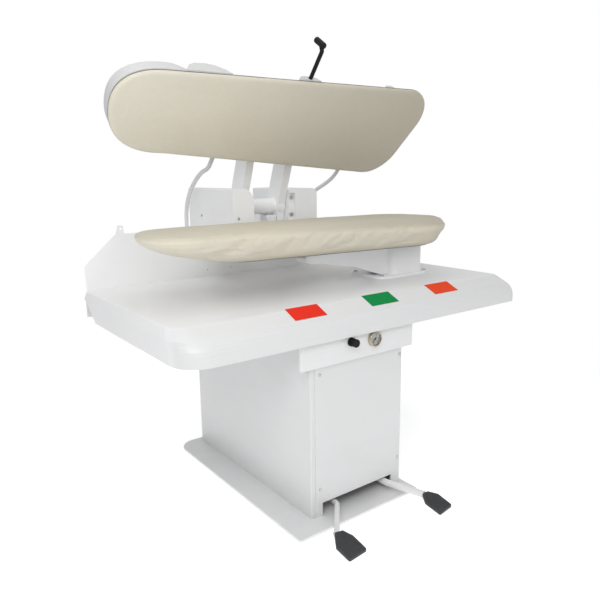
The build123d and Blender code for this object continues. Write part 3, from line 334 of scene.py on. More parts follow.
# painted shade: the cabinet shell and front panel use a darker copy (0.715) of the white enamel for the shade under
# the table; the grey flecks near the floor are dust
M_paint_cab_darkened = paint("white_enamel_cabinet_darkened", (0.715, 0.717, 0.719), low_dirt=0.10)
# painted light: brighter copies (0.93, 0.955) of the white enamel for the housings, guard, stop bracket, yoke, buck
# arm and stand, offsetting the shade of the head and buck over them
M_paint_rear_brightened = paint("white_enamel_rear_brightened", (0.93, 0.932, 0.934), rough=0.38)
M_cast_rear_brightened = paint("white_enamel_yoke_brightened", (0.955, 0.957, 0.959), rough=0.45, peel=2.5)
# painted shade: the head's white casting is a darker copy (0.66) of the white enamel, so its lit top reads grey
M_cast_darkened = paint("white_enamel_casting_darkened", (0.66, 0.662, 0.662), rough=0.45, peel=3.0)
M_grey = paint("grey_primer", (0.33, 0.34, 0.35), rough=0.5)
M_iron = metal("cast_chest", (0.33, 0.33, 0.34), 0.48, None, 0.7)
M_alloy = metal("machined_alloy", (0.72, 0.73, 0.74), 0.28, "x", 0.3)
M_zinc = metal("zinc_plate", (0.62, 0.63, 0.64), 0.30, None, 0.4)
M_dark = metal("oiled_steel", (0.16, 0.16, 0.17), 0.38, None, 0.6)
M_chrome = metal("plated_steel", (0.80, 0.81, 0.82), 0.10, "y", 0.15)
M_brass = metal("turned_brass", (0.60, 0.55, 0.42), 0.30, "x", 0.6)
M_red = plastic("button_red", (0.83, 0.030, 0.012), 0.55, spec=0.12)
M_green = plastic("button_green", (0.0, 0.262, 0.060), 0.55, spec=0.12)
M_orange = plastic("button_orange", (0.84, 0.066, 0.014), 0.55, spec=0.12)
M_black = plastic("black_moulding", (0.009, 0.009, 0.010), 0.50, grain=0.6, spec=0.22)
M_bezel = plastic("button_bezel", (0.70, 0.70, 0.70), 0.5)
M_dial = plastic("dial_face", (0.83, 0.83, 0.80), 0.5)
M_ink = plastic("dial_print", (0.02, 0.02, 0.022), 0.5)
M_rubber = plastic("pedal_rubber", (0.040, 0.041, 0.043), 0.62, grain=1.0, specks=(0.16, 0.16, 0.16))
M_hose = plastic("hose_cover", (0.76, 0.765, 0.765), 0.50, grain=0.4)
M_buck = cloth("buck_cloth", (0.88, 0.833, 0.705), (0.77, 0.72, 0.59), painted_shade_along_x=(-0.30, 0.62, (0.80, 0.795, 0.785)), painted_shade_top_hem=(0.893, 0.906, (0.78, 0.775, 0.74)))
M_head = cloth("head_cloth", (0.79, 0.745, 0.632), (0.725, 0.679, 0.567), plane="HEAD", stain=0.25, painted_shade_along_x=(-0.25, 0.62, (0.70, 0.69, 0.66)))
# painted shade: dark olive cloth for the head's piping, standing in for the shadow gap between the pad and the cover
M_tape_gap_shadow = cloth("edge_tape_gap_shadow", (0.235, 0.225, 0.175), (0.17, 0.16, 0.12), plane="HEAD", stain=0.3)


def glass(name):
    mat, nt, b = new_mat(name)
    v = coords(nt)
    b.inputs["Base Color"].default_value = (0.97, 0.985, 0.99, 1)
    b.inputs["Transmission Weight"].default_value = 1.0
    b.inputs["IOR"].default_value = 1.45
    nt.links.new(map_range(nt, noise_tex(nt, v, 300, 4, 0.6), 0.45, 0.8, 0.01, 0.07), b.inputs["Roughness"])
    return mat


M_glass = glass("gauge_glass")

by_slot = {
    "white_paint": M_paint, "grey_paint": M_grey, "cast_chest": M_iron, "head_casting": M_cast_darkened, "chest_alloy": M_alloy,
    "pad_cloth": M_buck, "red_plastic": M_red, "green_plastic": M_green, "orange_plastic": M_orange, "black_plastic": M_black,
    "dial_white": M_dial, "needle_black": M_ink, "lens": M_glass, "brass": M_brass, "zinc_steel": M_zinc, "dark_steel": M_dark,
    "chrome": M_chrome, "rubber": M_rubber, "hose_rubber": M_hose, "cylinder_alloy": M_alloy,
}
slot_of = {s["node"]: s["material_slot"] for s in frame["record"]["subparts"]}
special = {"base_plate": M_paint_low, "cabinet_shell": M_paint_cab_darkened, "front_panel": M_paint_cab_darkened, "handle_arm": M_black,
           "pedal_left_arm": M_paint_low, "pedal_right_arm": M_paint_low, "yoke": M_cast_rear_brightened, "buck_arm": M_cast_rear_brightened, "buck_stand": M_cast_rear_brightened,
           "housing_left": M_paint_rear_brightened, "housing_right": M_paint_rear_brightened, "back_guard": M_paint_rear_brightened, "stop_bracket": M_paint_rear_brightened,
           "head_pad": M_head, "work_table": M_paint_table_brightened, "button_housings": M_bezel}
for name, o in nodes.items():
    mat = special.get(name) or by_slot[slot_of[name]]
    if not o.material_slots:
        o.data.materials.append(mat)
    for s in o.material_slots:
        s.material = mat


# ------------------------------------------------------------ mesh helpers
def make_obj(name, verts, faces, mat, smooth=True):
    me = bpy.data.meshes.new(name)
    me.from_pydata([tuple(v) for v in verts], [], faces)
    me.update()
    if mat is not None:
        me.materials.append(mat)
    if smooth:
        me.polygons.foreach_set("use_smooth", [True] * len(me.polygons))
    o = bpy.data.objects.new(name, me)
    bpy.context.scene.collection.objects.link(o)
    return o


def fix_normals(o):
    bm = bmesh.new()
    bm.from_mesh(o.data)
    bmesh.ops.recalc_face_normals(bm, faces=bm.faces)
    bm.to_mesh(o.data)
    bm.free()


def apply_mods(o):
    dg = bpy.context.evaluated_depsgraph_get()
    bpy.context.view_layer.update()
    me = bpy.data.meshes.new_from_object(o.evaluated_get(dg))
    o.modifiers.clear()
    old = o.data
    o.data = me
    bpy.data.meshes.remove(old)


def smooth_angle(o, deg=35.0):
    """Sharp where faces meet steeply, smooth elsewhere."""
    bm = bmesh.new()
    bm.from_mesh(o.data)
    lim = math.radians(deg)
    for f in bm.faces:
        f.smooth = True
    for e in bm.edges:
        e.smooth = not (len(e.link_faces) == 2 and e.calc_face_angle(0.0) > lim)
    bm.to_mesh(o.data)
    bm.free()


def bridge(rings, closed_ends=(True, True)):
    """Vertices and quads through equal rings; ends filled by one face each."""
    n = len(rings[0])
    verts = [p for r in rings for p in r]
    faces = []
    for k in range(len(rings) - 1):
        a, b = k * n, (k + 1) * n
        for i in range(n):
            j = (i + 1) % n
            faces.append((a + i, a + j, b + j, b + i))
    if closed_ends[0]:
        faces.append(tuple(reversed(range(n))))
    if closed_ends[1]:
        faces.append(tuple(range((len(rings) - 1) * n, len(rings) * n)))
    return verts, faces


# --------------------------------------------------- plan of head and buck
HEAD_PLAN = dict(xl=-311.0, a=183.0, yc=353.0, w=145.0, xf=1006.0, yf=198.0, xr=908.0, yr=594.0, r1=121.0, r2=132.0, sh=19.0)
BUCK_PLAN = dict(xl=-291.0, a=176.0, yc=383.0, w=155.0, xf=992.0, yf=188.0, xr=882.0, yr=557.0, r1=165.0, r2=140.0, sh=24.0)


def plan_points(p, n_nose=60):
    pts = []
    ex = 2 / 2.4
    for i in range(n_nose + 1):
        t = math.pi / 2 + math.pi * i / n_nose
        c, s = math.cos(t), math.sin(t)
        cx = math.copysign(abs(c) ** ex, c) if abs(c) > 1e-9 else 0.0
        sy = math.copysign(abs(s) ** ex, s) if abs(s) > 1e-9 else 0.0
        pts.append((p["xl"] + p["a"] + p["a"] * cx + p["sh"] * sy, p["yc"] + p["w"] * sy))
    rear0, front0 = pts[0], pts[-1]

    def corner(a, b, c, r, n=16):
        a, b, c = Vector(a), Vector(b), Vector(c)
        u, w = (a - b).normalized(), (c - b).normalized()
        half = math.acos(max(-1, min(1, u.dot(w)))) / 2
        t = r / math.tan(half)
        o = b + (u + w).normalized() * (r / math.sin(half))
        va, vb = b + u * t - o, b + w * t - o
        return [tuple(o + (va * (1 - k / n) + vb * (k / n)).normalized() * r) for k in range(n + 1)]
    f, r = (p["xf"], p["yf"]), (p["xr"], p["yr"])
    c1 = corner(front0, f, r, p["r1"])
    c2 = corner(f, r, rear0, p["r2"])
    return pts + c1 + c2


def resample(loop, n):
    closed = loop + [loop[0]]
    d = [0.0]
    for a, b in zip(closed, closed[1:]):
        d.append(d[-1] + math.dist(a, b))
    out, j = [], 0
    for i in range(n):
        s = d[-1] * i / n
        while d[j + 1] < s:
            j += 1
        u = (s - d[j]) / (d[j + 1] - d[j])
        out.append((closed[j][0] + (closed[j + 1][0] - closed[j][0]) * u, closed[j][1] + (closed[j + 1][1] - closed[j][1]) * u))
    return out


def soften(loop, times):
    for _ in range(times):
        loop = [((a[0] + 2 * b[0] + c[0]) / 4, (a[1] + 2 * b[1] + c[1]) / 4) for a, b, c in zip([loop[-1]] + loop[:-1], loop, loop[1:] + [loop[0]])]
    return loop


def normals(loop):
    out = []
    n = len(loop)
    for i in range(n):
        a, b = loop[i - 1], loop[(i + 1) % n]
        t = Vector((b[0] - a[0], b[1] - a[1])).normalized()
        out.append(Vector((-t.y, t.x)))
    return out


def smooth(t):
    t = max(0.0, min(1.0, t))
    return t * t * (3 - 2 * t)


def nose(x, near, far):
    return near + (far - near) * smooth((x + 120.0) / 90.0)


def pad_mesh(name, plan, n, profile, crown, place, mat, inner_rings=16, offset=None):
    """A closed padded form: profile(i, x, y) gives (inset, z) pairs from hem to
    the top edge for that outline point, crown(s, x, y) the height from the edge
    of the top (s=0) to its spine (s=1)."""
    loop = soften(resample(plan_points(plan), n), 3)
    nrm = normals(loop)
    sp0, sp1 = plan["xl"] + plan["w"] * 1.05, plan["xr"] - 150.0
    profs = [profile(i, x, y) for i, (x, y) in enumerate(loop)]
    rings = []
    count = len(profs[0])
    for k in range(count):
        ring = []
        for (x, y), nn, pr in zip(loop, nrm, profs):
            d, z = pr[k]
            ring.append([x + nn.x * d, y + nn.y * d, z])
        rings.append(ring)
    edge = rings[-1]
    for k in range(1, inner_rings + 1):
        s = k / inner_rings * 0.985
        ring = []
        for x, y, z in edge:
            sx = min(max(x, sp0), sp1)
            u = (sx - sp0) / (sp1 - sp0)
            sy = plan["yc"] + u * 22.0
            px, py = x + (sx - x) * s, y + (sy - y) * s
            ring.append([px, py, z + crown(s, px, py)])
        rings.append(ring)
    if offset is not None:
        for k, ring in enumerate(rings):
            for i, v in enumerate(ring):
                v[:] = offset(k, i, v, nrm[i], count)
    verts, faces = bridge([[place(*v) for v in r] for r in rings])
    # split the two n-gon caps into triangles
    o = make_obj(name, verts, faces, mat)
    bm = bmesh.new()
    bm.from_mesh(o.data)
    big = [f for f in bm.faces if len(f.verts) > 4]
    bmesh.ops.triangulate(bm, faces=big)
    bmesh.ops.recalc_face_normals(bm, faces=bm.faces)
    for f in bm.faces:
        f.smooth = True
    bm.to_mesh(o.data)
    bm.free()
    return o, loop, nrm


# ---------------------------------------------------------------- buck pad
def fbm(x, y, z, octaves=4):
    return noise.fractal(Vector((x, y, z)), 0.9, 2.1, octaves)


def lerp_rows(rows, z):
    if z <= rows[0][0]:
        return rows[0][1:]
    for a, b in zip(rows, rows[1:]):
        if z <= b[0]:
            t = (z - a[0]) / (b[0] - a[0])
            return tuple(u + (v - u) * t for u, v in zip(a[1:], b[1:]))
    return rows[-1][1:]


# height, shift and narrowing of the pointed end, inset all round
HULL = ((811, 240, 48, 26), (817, 206, 40, 21.5), (824, 176, 34, 18.5), (832, 138, 29, 15.8), (842, 92, 23.5, 13), (853, 55, 18.5, 9.6), (865, 31, 11.5, 6),
        (876, 14.5, 5.6, 3.1), (888, 3.4, 1.4, 0.9), (899, 0, 0, 0))


def buck_ring(dx, dw, ins, z, n=440):
    plan = dict(BUCK_PLAN, xl=BUCK_PLAN["xl"] + dx, w=BUCK_PLAN["w"] - dw)
    loop = soften(resample(plan_points(plan), n), 3)
    return [[x + nn.x * ins, y + nn.y * ins, z] for (x, y), nn in zip(loop, normals(loop))]


FOLDS = []
seed_at = 11
for k in range(64):
    u = noise.cell(Vector((k * 1.37 + 0.5, seed_at, 0.5)))
    v = noise.cell(Vector((k * 2.11 + 0.5, seed_at + 3, 0.5)))
    w = noise.cell(Vector((k * 0.83 + 0.5, seed_at + 7, 0.5)))
    FOLDS.append((k * 440 / 64 + 5 * (u - 0.5), 0.03 * (v - 0.5), 8 + 12 * w, 0.5 + 1.3 * v))


# long soft creases in the skirt: place along the buck, height, length, width, depth
CREASES = ((-150.0, 868.0, 70.0, 4.0, 3.2), (-60.0, 850.0, 90.0, 4.5, 3.6), (40.0, 835.0, 80.0, 4.0, 2.6), (150.0, 827.0, 90.0, 4.5, 2.4),
           (330.0, 829.0, 60.0, 5.0, 4.2), (372.0, 842.0, 45.0, 4.0, 2.8), (470.0, 824.0, 70.0, 4.0, 2.2), (640.0, 828.0, 80.0, 4.0, 2.0), (800.0, 835.0, 70.0, 4.0, 1.8))


def buck_wrinkle(i, x, y, z):
    """Inward push at an outline point: gathers above the drawn hem, drag lines."""
    left = smooth((470.0 - x) / 600.0)
    rise = max(0.0, z - 809.0)
    d = 0.0
    for at, lean, reach, amp in FOLDS:
        off = i - at - lean * rise * 4.0
        off -= 440 * round(off / 440)
        if abs(off) < 7.0:
            d += amp * (0.45 + 0.75 * left) * math.exp(-(off / 2.0) ** 2) * math.exp(-(rise / reach) ** 2)
    for cx, cz, wx, wz, depth in CREASES:
        d += depth * math.exp(-((x - cx - (z - cz) * 1.2) / wx) ** 2) * math.exp(-((z - cz) / wz) ** 2)
    d += (0.7 + 2.0 * left) * fbm(i * 0.055 + z * 0.006, z * 0.050, 3.1, 3) * smooth((882.0 - z) / 50.0)
    d += (0.4 + 1.0 * left) * fbm(x * 0.0040 + z * 0.008, z * 0.030, 1.7, 3) * smooth((899.0 - z) / 30.0)
    return d


rings = []
for ins, z in ((30, 813.2), (24, 811.0), (17, 809.6), (9, 809.4), (3.5, 809.9)):
    rings.append(buck_ring(240, 48, 26 + ins, z))
steps = 26
for k in range(steps):
    z = 811.0 + 88.0 * k / (steps - 1)
    dx, dw, ins = lerp_rows(HULL, z)
    rings.append(buck_ring(dx, dw, ins, z))
for ins, z in ((0.5, 901.6), (1.7, 904.0), (3.7, 906.2), (6.8, 908.0), (11.0, 909.4), (16.5, 910.2), (23.5, 910.7)):
    rings.append(buck_ring(0, 0, ins, z))
front = [smooth(nn.y * 1.6 - 0.25) for nn in normals([(v[0], v[1]) for v in rings[-1]])]


def roll(x):
    return 20.0 * smooth((x - 40.0) / 820.0)


for r in rings:
    for i, v in enumerate(r):
        v[2] -= roll(v[0]) * front[i] * smooth((v[2] - 835.0) / 66.0)
for r in rings:
    loop2 = [(v[0], v[1]) for v in r]
    nr = normals(loop2)
    for i, (v, nn) in enumerate(zip(r, nr)):
        if 809.3 < v[2] < 898.0 and r is not rings[-1]:
            d = buck_wrinkle(i, v[0], v[1], v[2])
            v[0], v[1] = v[0] + nn.x * d, v[1] + nn.y * d
edge = rings[-1]
for k in range(1, 20):
    q = k / 19 * 0.985
    ring = []
    for i, (x, y, z) in enumerate(edge):
        z += roll(x) * front[i] * (1.0 - (1.0 - min(1.0, q * 1.5)) ** 2)
        sx = min(max(x, BUCK_PLAN["xl"] + 160.0), BUCK_PLAN["xr"] - 150.0)
        sy = BUCK_PLAN["yc"] + (sx + 131.0) / 863.0 * (-6.0)
        px, py = x + (sx - x) * q, y + (sy - y) * q
        ring.append([px, py, z + 0.4 * math.sin(q * math.pi / 2)])
    rings.append(ring)
for r in rings:
    for v in r:
        if v[2] > 899.0:
            v[2] += 0.5 * fbm(v[0] * 0.011, v[1] * 0.02, 5.0, 3) - 4.5 * smooth((v[0] - 250.0) / 650.0) * smooth((v[2] - 895.0) / 12.0)
            v[2] = min(v[2], 911.3)
verts, faces = bridge([[P(*v) for v in r] for r in rings])
buck = make_obj("buck_cover", verts, faces, M_buck)
bm = bmesh.new()
bm.from_mesh(buck.data)
bmesh.ops.triangulate(bm, faces=[f for f in bm.faces if len(f.verts) > 4])
bmesh.ops.recalc_face_normals(bm, faces=bm.faces)
for f in bm.faces:
    f.smooth = True
bm.to_mesh(buck.data)
bm.free()
buck_hem_line = [list(v) for v in rings[3]]


def settle(obj, pinned, limit, frames=16, shrink=-0.02, pressure=0.6):
    """Let the sewn shape relax as cloth, each point kept within a few mm."""
    rest = [v.co.copy() for v in obj.data.vertices]
    vg = obj.vertex_groups.new(name="hold")
    for i, w in enumerate(pinned(rest)):
        vg.add([i], w, "REPLACE")
    mod = obj.modifiers.new("relax", "CLOTH")
    st = mod.settings
    st.quality = 5
    st.mass = 0.25
    st.tension_stiffness = 18
    st.compression_stiffness = 18
    st.shear_stiffness = 6
    st.bending_stiffness = 0.25
    st.air_damping = 4
    st.vertex_group_mass = "hold"
    st.pin_stiffness = 1.0
    st.shrink_min = shrink
    st.shrink_max = shrink
    st.use_pressure = True
    st.uniform_pressure_force = pressure
    st.effector_weights.gravity = 0.0
    mod.collision_settings.use_collision = False
    mod.collision_settings.use_self_collision = False
    mod.point_cache.frame_start = 1
    mod.point_cache.frame_end = frames
    sc = bpy.context.scene
    for f in range(1, frames + 1):
        sc.frame_set(f)
    dg = bpy.context.evaluated_depsgraph_get()
    me = obj.evaluated_get(dg).to_mesh()
    new = [v.co.copy() for v in me.vertices]
    obj.evaluated_get(dg).to_mesh_clear()
    obj.modifiers.remove(mod)
    obj.vertex_groups.clear()
    sc.frame_set(1)
    out = []
    for a, b in zip(rest, new):
        d = b - a
        if d.length > limit:
            d *= limit / d.length
        out.append(a + d)
    obj.data.vertices.foreach_set("co", [c for v in out for c in v])
    obj.data.update()


def hold_buck(points):
    out = []
    for c in points:
        z = c.z * 1000
        out.append(1.0 if z < 812.5 else (0.90 if z > 905 else 0.04 + 0.5 * smooth((z - 880) / 25)))
    return out


settle(buck, hold_buck, 0.0050, shrink=-0.007)
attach(buck, "frame")
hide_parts("buck_pad")


# ---------------------------------------------------------------- head pad
def head_profile(i, x, y):
    return [(14.0, 928.2), (9.0, 928.4), (6.0, 928.5), (3.9, 928.3), (2.3, 927.7), (1.1, 926.6), (0.35, 925.2), (0.0, 922.9), (0.15, 920.4), (0.9, 918.2), (2.3, 916.4),
            (4.4, 914.9), (7.4, 913.8), (11.5, 913.2), (17.0, 912.9), (26.0, 912.8)]


def head_offset(k, i, v, nn, count):
    x, y, z = v
    if 3 < k < count - 2:
        d = 0.5 * fbm(i * 0.11, z * 0.03, 2.2, 3)
        x, y = x - nn.x * d, y - nn.y * d
    if k >= count - 1:
        z += 0.8 * fbm(x * 0.008, y * 0.012, 7.0, 3)
    return [x, y, max(z, 912.1)]


def head_crown(s, x, y):
    return 0.35 * math.sin(s * math.pi / 2)


FACE_PLAN = dict(HEAD_PLAN, xl=HEAD_PLAN["xl"] + 5.0, xf=HEAD_PLAN["xf"] + 5.0, xr=HEAD_PLAN["xr"] + 8.0, yc=HEAD_PLAN["yc"] + 5.0, w=HEAD_PLAN["w"] - 2.0, yf=HEAD_PLAN["yf"] + 1.0, yr=HEAD_PLAN["yr"] + 5.0)
head, head_loop, head_nrm = pad_mesh("head_cover_cloth", FACE_PLAN, 420, head_profile, head_crown, opened, M_head, 18, head_offset)
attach(head, "head")
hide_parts("head_pad")


# --------------------------------------------------------- cord in the hems
def tube(name, pts, radius, mat, closed=True, sides=8):
    n = len(pts)
    verts, faces = [], []
    for i, p in enumerate(pts):
        a = pts[i - 1] if (closed or i > 0) else pts[i]
        b = pts[(i + 1) % n] if (closed or i < n - 1) else pts[i]
        t = (b - a).normalized()
        ref = Vector((0, 0, 1)) if abs(t.z) < 0.9 else Vector((1, 0, 0))
        u = t.cross(ref).normalized()
        w = t.cross(u)
        for k in range(sides):
            an = 2 * math.pi * k / sides
            verts.append(p + u * (radius * math.cos(an)) + w * (radius * math.sin(an)))
    rng = n if closed else n - 1
    for i in range(rng):
        for k in range(sides):
            a, b = i * sides + k, i * sides + (k + 1) % sides
            c, d = ((i + 1) % n) * sides + (k + 1) % sides, ((i + 1) % n) * sides + k
            faces.append((a, b, c, d))
    if not closed:
        faces.append(tuple(reversed(range(sides))))
        faces.append(tuple(range((n - 1) * sides, n * sides)))
    o = make_obj(name, verts, faces, mat)
    fix_normals(o)
    return o


# the head's piping is dark as painted shade of the gap between pad and cover
pip = [opened(x + nn.x * 2.0, y + nn.y * 2.0, 928.6) for (x, y), nn in zip(head_loop, head_nrm)]
piping = tube("head_piping", pip, 0.0020, M_tape_gap_shadow)
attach(piping, "head")
draw = tube("buck_hem", [P(v[0], v[1], v[2] + 0.4) for v in buck_hem_line], 0.0022, M_buck)
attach(draw, "frame")


# ------------------------------------------------------------------- hoses
def hose_mesh(name, route, radius, mat):
    cu = bpy.data.curves.new(name + "_route", "CURVE")
    cu.dimensions = "3D"
    sp = cu.splines.new("NURBS")
    sp.points.add(len(route) - 1)
    for pt, co in zip(sp.points, route):
        pt.co = (*co, 1.0)
    sp.order_u = 3
    sp.use_endpoint_u = True
    cu.resolution_u = 10
    ob = bpy.data.objects.new(name + "_route", cu)
    bpy.context.scene.collection.objects.link(ob)
    bpy.context.view_layer.update()
    me = bpy.data.meshes.new_from_object(ob)
    line = [v.co.copy() for v in me.vertices]
    bpy.data.objects.remove(ob)
    bpy.data.meshes.remove(me)
    return line


def braided(name, line, radius, mat, sides=28):
    """Hose cover with its crossing braid standing slightly proud."""
    total = [0.0]
    for a, b in zip(line, line[1:]):
        total.append(total[-1] + (b - a).length)
    steps = int(total[-1] / 0.0016)
    pts, j = [], 0
    for i in range(steps + 1):
        s = total[-1] * i / steps
        while j < len(total) - 2 and total[j + 1] < s:
            j += 1
        pts.append(line[j].lerp(line[j + 1], (s - total[j]) / max(1e-9, total[j + 1] - total[j])))
    verts, faces = [], []
    t0 = (pts[1] - pts[0]).normalized()
    u = t0.orthogonal().normalized()
    for i, p in enumerate(pts):
        t = (pts[min(i + 1, steps)] - pts[max(i - 1, 0)]).normalized()
        u = (u - t * u.dot(t)).normalized()
        w = t.cross(u)
        for k in range(sides):
            an = 2 * math.pi * k / sides
            s = total[-1] * i / steps
            r = radius * (1 - 0.045 + 0.03 * max(math.sin(an * 7 + s * 520), math.sin(an * 7 - s * 520)))
            verts.append(p + u * (r * math.cos(an)) + w * (r * math.sin(an)))
    for i in range(steps):
        for k in range(sides):
            a, b = i * sides + k, i * sides + (k + 1) % sides
            faces.append((a, b, b + sides, a + sides))
    faces.append(tuple(reversed(range(sides))))
    faces.append(tuple(range(steps * sides, (steps + 1) * sides)))
    o = make_obj(name, verts, faces, mat)
    fix_normals(o)
    return o


HOSE_L = [P(138.0, 938.0, 828.1), P(138.0, 938.0, 868.0), P(136.0, 934.0, 912.0), P(132.0, 916.0, 956.0), P(125.0, 880.0, 997.0),
          P(117.0, 826.0, 1036.0), P(111.0, 768.0, 1069.0), P(112.0, 726.0, 1089.0), opened(116.0, 604.0, 972.0), opened(116.0, 548.1, 972.0)]
HOSE_R = [P(647.0, 850.0, 878.1), P(647.0, 850.0, 912.0), P(652.0, 842.0, 946.0), P(664.0, 816.0, 980.0), P(681.0, 776.0, 1010.0),
          P(702.0, 738.0, 1035.0), opened(718.0, 634.0, 962.0), opened(718.0, 590.1, 962.0)]
for nm, route in (("hose_left", HOSE_L), ("hose_right", HOSE_R)):
    line = hose_mesh(nm, route, 0.008, M_hose)
    h = braided(nm + "_braid", line, 0.008, M_hose)
    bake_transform(h)
    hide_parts(nm)

# -------------------------------------------------------- dial print, treads
GX, GZ = 341.0, 559.0


def join(name, parts, mat):
    bm = bmesh.new()
    for me in parts:
        bm.from_mesh(me)
        bpy.data.meshes.remove(me)
    me = bpy.data.meshes.new(name)
    bm.to_mesh(me)
    bm.free()
    me.materials.append(mat)
    o = bpy.data.objects.new(name, me)
    bpy.context.scene.collection.objects.link(o)
    return o


def box_mesh(center, half, ang=0.0):
    """Thin printed mark on the dial: half sizes along radius, across, depth."""
    me = bpy.data.meshes.new("m")
    c, sn = math.cos(ang), math.sin(ang)
    vs = []
    for a in (-1, 1):
        for b in (-1, 1):
            for d in (-1, 1):
                u, w = a * half[0], b * half[1]
                vs.append(P(center[0] + u * sn + w * c, center[1] + d * half[2], center[2] + u * c - w * sn))
    me.from_pydata([tuple(v) for v in vs], [], [(0, 1, 3, 2), (4, 6, 7, 5), (0, 4, 5, 1), (2, 3, 7, 6), (0, 2, 6, 4), (1, 5, 7, 3)])
    return me


marks = []
for k in range(51):
    ang = math.radians(-135 + 270 * k / 50)
    major = k % 10 == 0
    mid = k % 5 == 0
    ln = 1.7 if major else (1.2 if mid else 0.8)
    r = 19.2 - ln
    marks.append(box_mesh((GX + r * math.sin(ang), 52.42, GZ + r * math.cos(ang)), (ln, 0.30 if major else 0.16, 0.07), ang))
for k in range(6):
    cu = bpy.data.curves.new("n", "FONT")
    cu.body = str(k * 2)
    cu.size = 0.0042
    cu.align_x = "CENTER"
    cu.align_y = "CENTER"
    cu.extrude = 0.00007
    ob = bpy.data.objects.new("n", cu)
    bpy.context.scene.collection.objects.link(ob)
    bpy.context.view_layer.update()
    me = bpy.data.meshes.new_from_object(ob)
    bpy.data.objects.remove(ob)
    ang = math.radians(-135 + 270 * k / 5)
    me.transform(Matrix.Translation(P(GX + 12.6 * math.sin(ang), 52.42, GZ + 12.6 * math.cos(ang))) @ Matrix.Rotation(math.pi / 2, 4, "X"))
    marks.append(me)
arc_r = (17.0, 18.6)
av, af = [], []
for k in range(25):
    ang = math.radians(-135 + 270 * (0.8 + 0.2 * k / 24))
    for r in arc_r:
        for d in (52.38, 52.46):
            av.append(P(GX + r * math.sin(ang), d, GZ + r * math.cos(ang)))
for k in range(24):
    a, b = 4 * k, 4 * k + 4
    af += [(a, a + 2, b + 2, b), (a + 1, b + 1, b + 3, a + 3), (a, b, b + 1, a + 1), (a + 2, a + 3, b + 3, b + 2)]
print_ = join("dial_print", marks, M_ink)
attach(print_, "frame")
arc = make_obj("dial_zone", av, af, M_red, False)
fix_normals(arc)
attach(arc, "frame")


def edges_at(poly, y):
    xs = []
    for a, b in zip(poly, poly[1:] + poly[:1]):
        if (a[1] - y) * (b[1] - y) <= 0 and a[1] != b[1]:
            xs.append(a[0] + (b[0] - a[0]) * (y - a[1]) / (b[1] - a[1]))
    return min(xs), max(xs)


TREADS = (("left_pedal", [(71, -72), (99, -76), (109, -112), (102, -178), (32, -185), (36, -122)]),
          ("right_pedal", [(440, -78), (465, -80), (482, -110), (472, -174), (406, -184), (413, -116)]))
for body, poly in TREADS:
    verts, faces = [], []
    y = poly[0][1] - 14.0
    y_end = max(poly[3][1], poly[4][1]) + 7.0
    while y > y_end:
        xa, xb = edges_at(poly, y)
        xa, xb = xa + 6.5, xb - 6.5
        zt = 46.0 + math.tan(math.radians(4)) * (y - poly[0][1]) - 0.12
        if xb - xa > 10:
            base = len(verts)
            prof = [(-1.7, -0.3), (-1.35, 0.55), (-0.6, 0.95), (0.6, 0.95), (1.35, 0.55), (1.7, -0.3)]
            for n_, xx in ((0, xa), (1, xa + 1.2), (2, xb - 1.2), (3, xb)):
                sc_ = 0.35 if n_ in (0, 3) else 1.0
                for py, pz in prof:
                    verts.append(P(xx, y + py * (0.6 if n_ in (0, 3) else 1.0), zt + (pz * sc_ if pz > 0 else pz)))
            m_ = len(prof)
            for n_ in range(3):
                for q in range(m_ - 1):
                    a = base + n_ * m_ + q
                    faces.append((a, a + 1, a + m_ + 1, a + m_))
                faces.append((base + n_ * m_ + m_ - 1, base + n_ * m_, base + (n_ + 1) * m_, base + (n_ + 1) * m_ + m_ - 1))
            faces.append(tuple(base + q for q in reversed(range(m_))))
            faces.append(tuple(base + 3 * m_ + q for q in range(m_)))
        y -= 6.2
    tr = make_obj(body + "_tread", verts, faces, M_rubber)
    fix_normals(tr)
    smooth_angle(tr, 50)
    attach(tr, body)

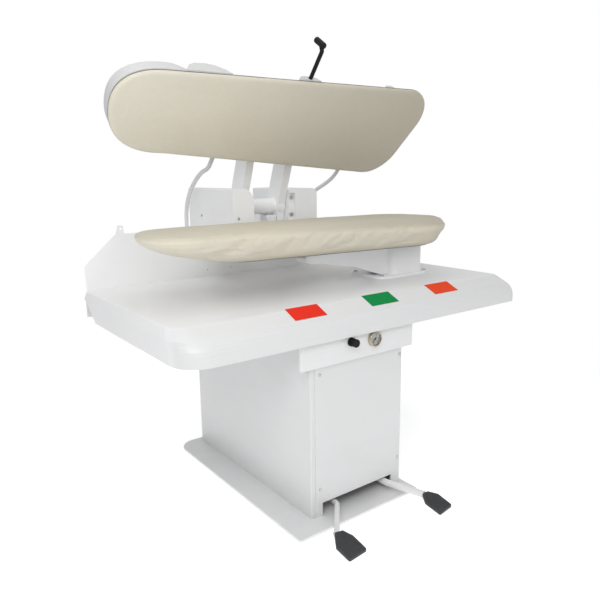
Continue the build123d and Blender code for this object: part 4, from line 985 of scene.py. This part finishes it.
# ------------------------------------------------------------------ stage
floor_me = bpy.data.meshes.new("floor")
fv, ff = [(0.0, 0.0, -0.0006)], []
for k in range(96):
    an = 2 * math.pi * k / 96
    fv.append((1.8 * math.cos(an), 1.8 * math.sin(an), -0.0006))
    ff.append((0, k + 1, (k + 1) % 96 + 1))
floor_me.from_pydata(fv, [], ff)
fm, fnt, fb = new_mat("pale_floor")
fb.inputs["Base Color"].default_value = (0.90, 0.90, 0.90, 1)
fb.inputs["Roughness"].default_value = 0.9
fb.inputs["Emission Color"].default_value = (1, 1, 1, 1)
fx, fy = axis_of(fnt, coords(fnt), 0), axis_of(fnt, coords(fnt), 1)
rr = math_node(fnt, "SQRT", math_node(fnt, "ADD", math_node(fnt, "MULTIPLY", fx, fx), math_node(fnt, "MULTIPLY", fy, fy)))
fnt.links.new(map_range(fnt, rr, 0.7, 1.6, 0.44, 0.60), fb.inputs["Emission Strength"])
nrough = noise_tex(fnt, coords(fnt), 6, 3, 0.5)
fnt.links.new(map_range(fnt, nrough, 0.3, 0.7, 0.85, 0.95), fb.inputs["Roughness"])
floor_me.materials.append(fm)
floor = bpy.data.objects.new("floor", floor_me)
bpy.context.scene.collection.objects.link(floor)

world = bpy.data.worlds.new("studio")
bpy.context.scene.world = world
world.use_nodes = True
wn = world.node_tree
wn.nodes.clear()
wo = wn.nodes.new("ShaderNodeOutputWorld")
lit = wn.nodes.new("ShaderNodeBackground")
lit.inputs["Strength"].default_value = 0.58
lit.inputs["Color"].default_value = (0.985, 0.99, 1.0, 1)
seen = wn.nodes.new("ShaderNodeBackground")
seen.inputs["Strength"].default_value = 1.0
seen.inputs["Color"].default_value = (1, 1, 1, 1)
lp = wn.nodes.new("ShaderNodeLightPath")
mx = wn.nodes.new("ShaderNodeMixShader")
wn.links.new(lp.outputs["Is Camera Ray"], mx.inputs[0])
wn.links.new(lit.outputs[0], mx.inputs[1])
wn.links.new(seen.outputs[0], mx.inputs[2])
wn.links.new(mx.outputs[0], wo.inputs[0])


def area(name, loc, target, size, power, col=(1, 1, 1)):
    d = bpy.data.lights.new(name, "AREA")
    d.shape = "RECTANGLE"
    d.size, d.size_y = size
    d.energy = power
    d.color = col
    o = bpy.data.objects.new(name, d)
    bpy.context.scene.collection.objects.link(o)
    o.location = loc
    o.rotation_euler = (Vector(target) - Vector(loc)).to_track_quat("-Z", "Y").to_euler()
    return o


area("key", (-0.9, -2.9, 3.7), (0.1, 0.0, 0.75), (3.2, 2.0), 17.0)
area("low_front", (0.3, -4.4, 0.95), (0.2, 0.0, 0.75), (3.6, 0.9), 5.8)
area("near_left", (-1.5, -1.5, 1.85), (-0.1, 0.0, 1.15), (1.1, 1.1), 15.0)
area("top", (-0.1, -0.2, 4.3), (0.0, 0.0, 0.7), (3.4, 2.8), 24.0)
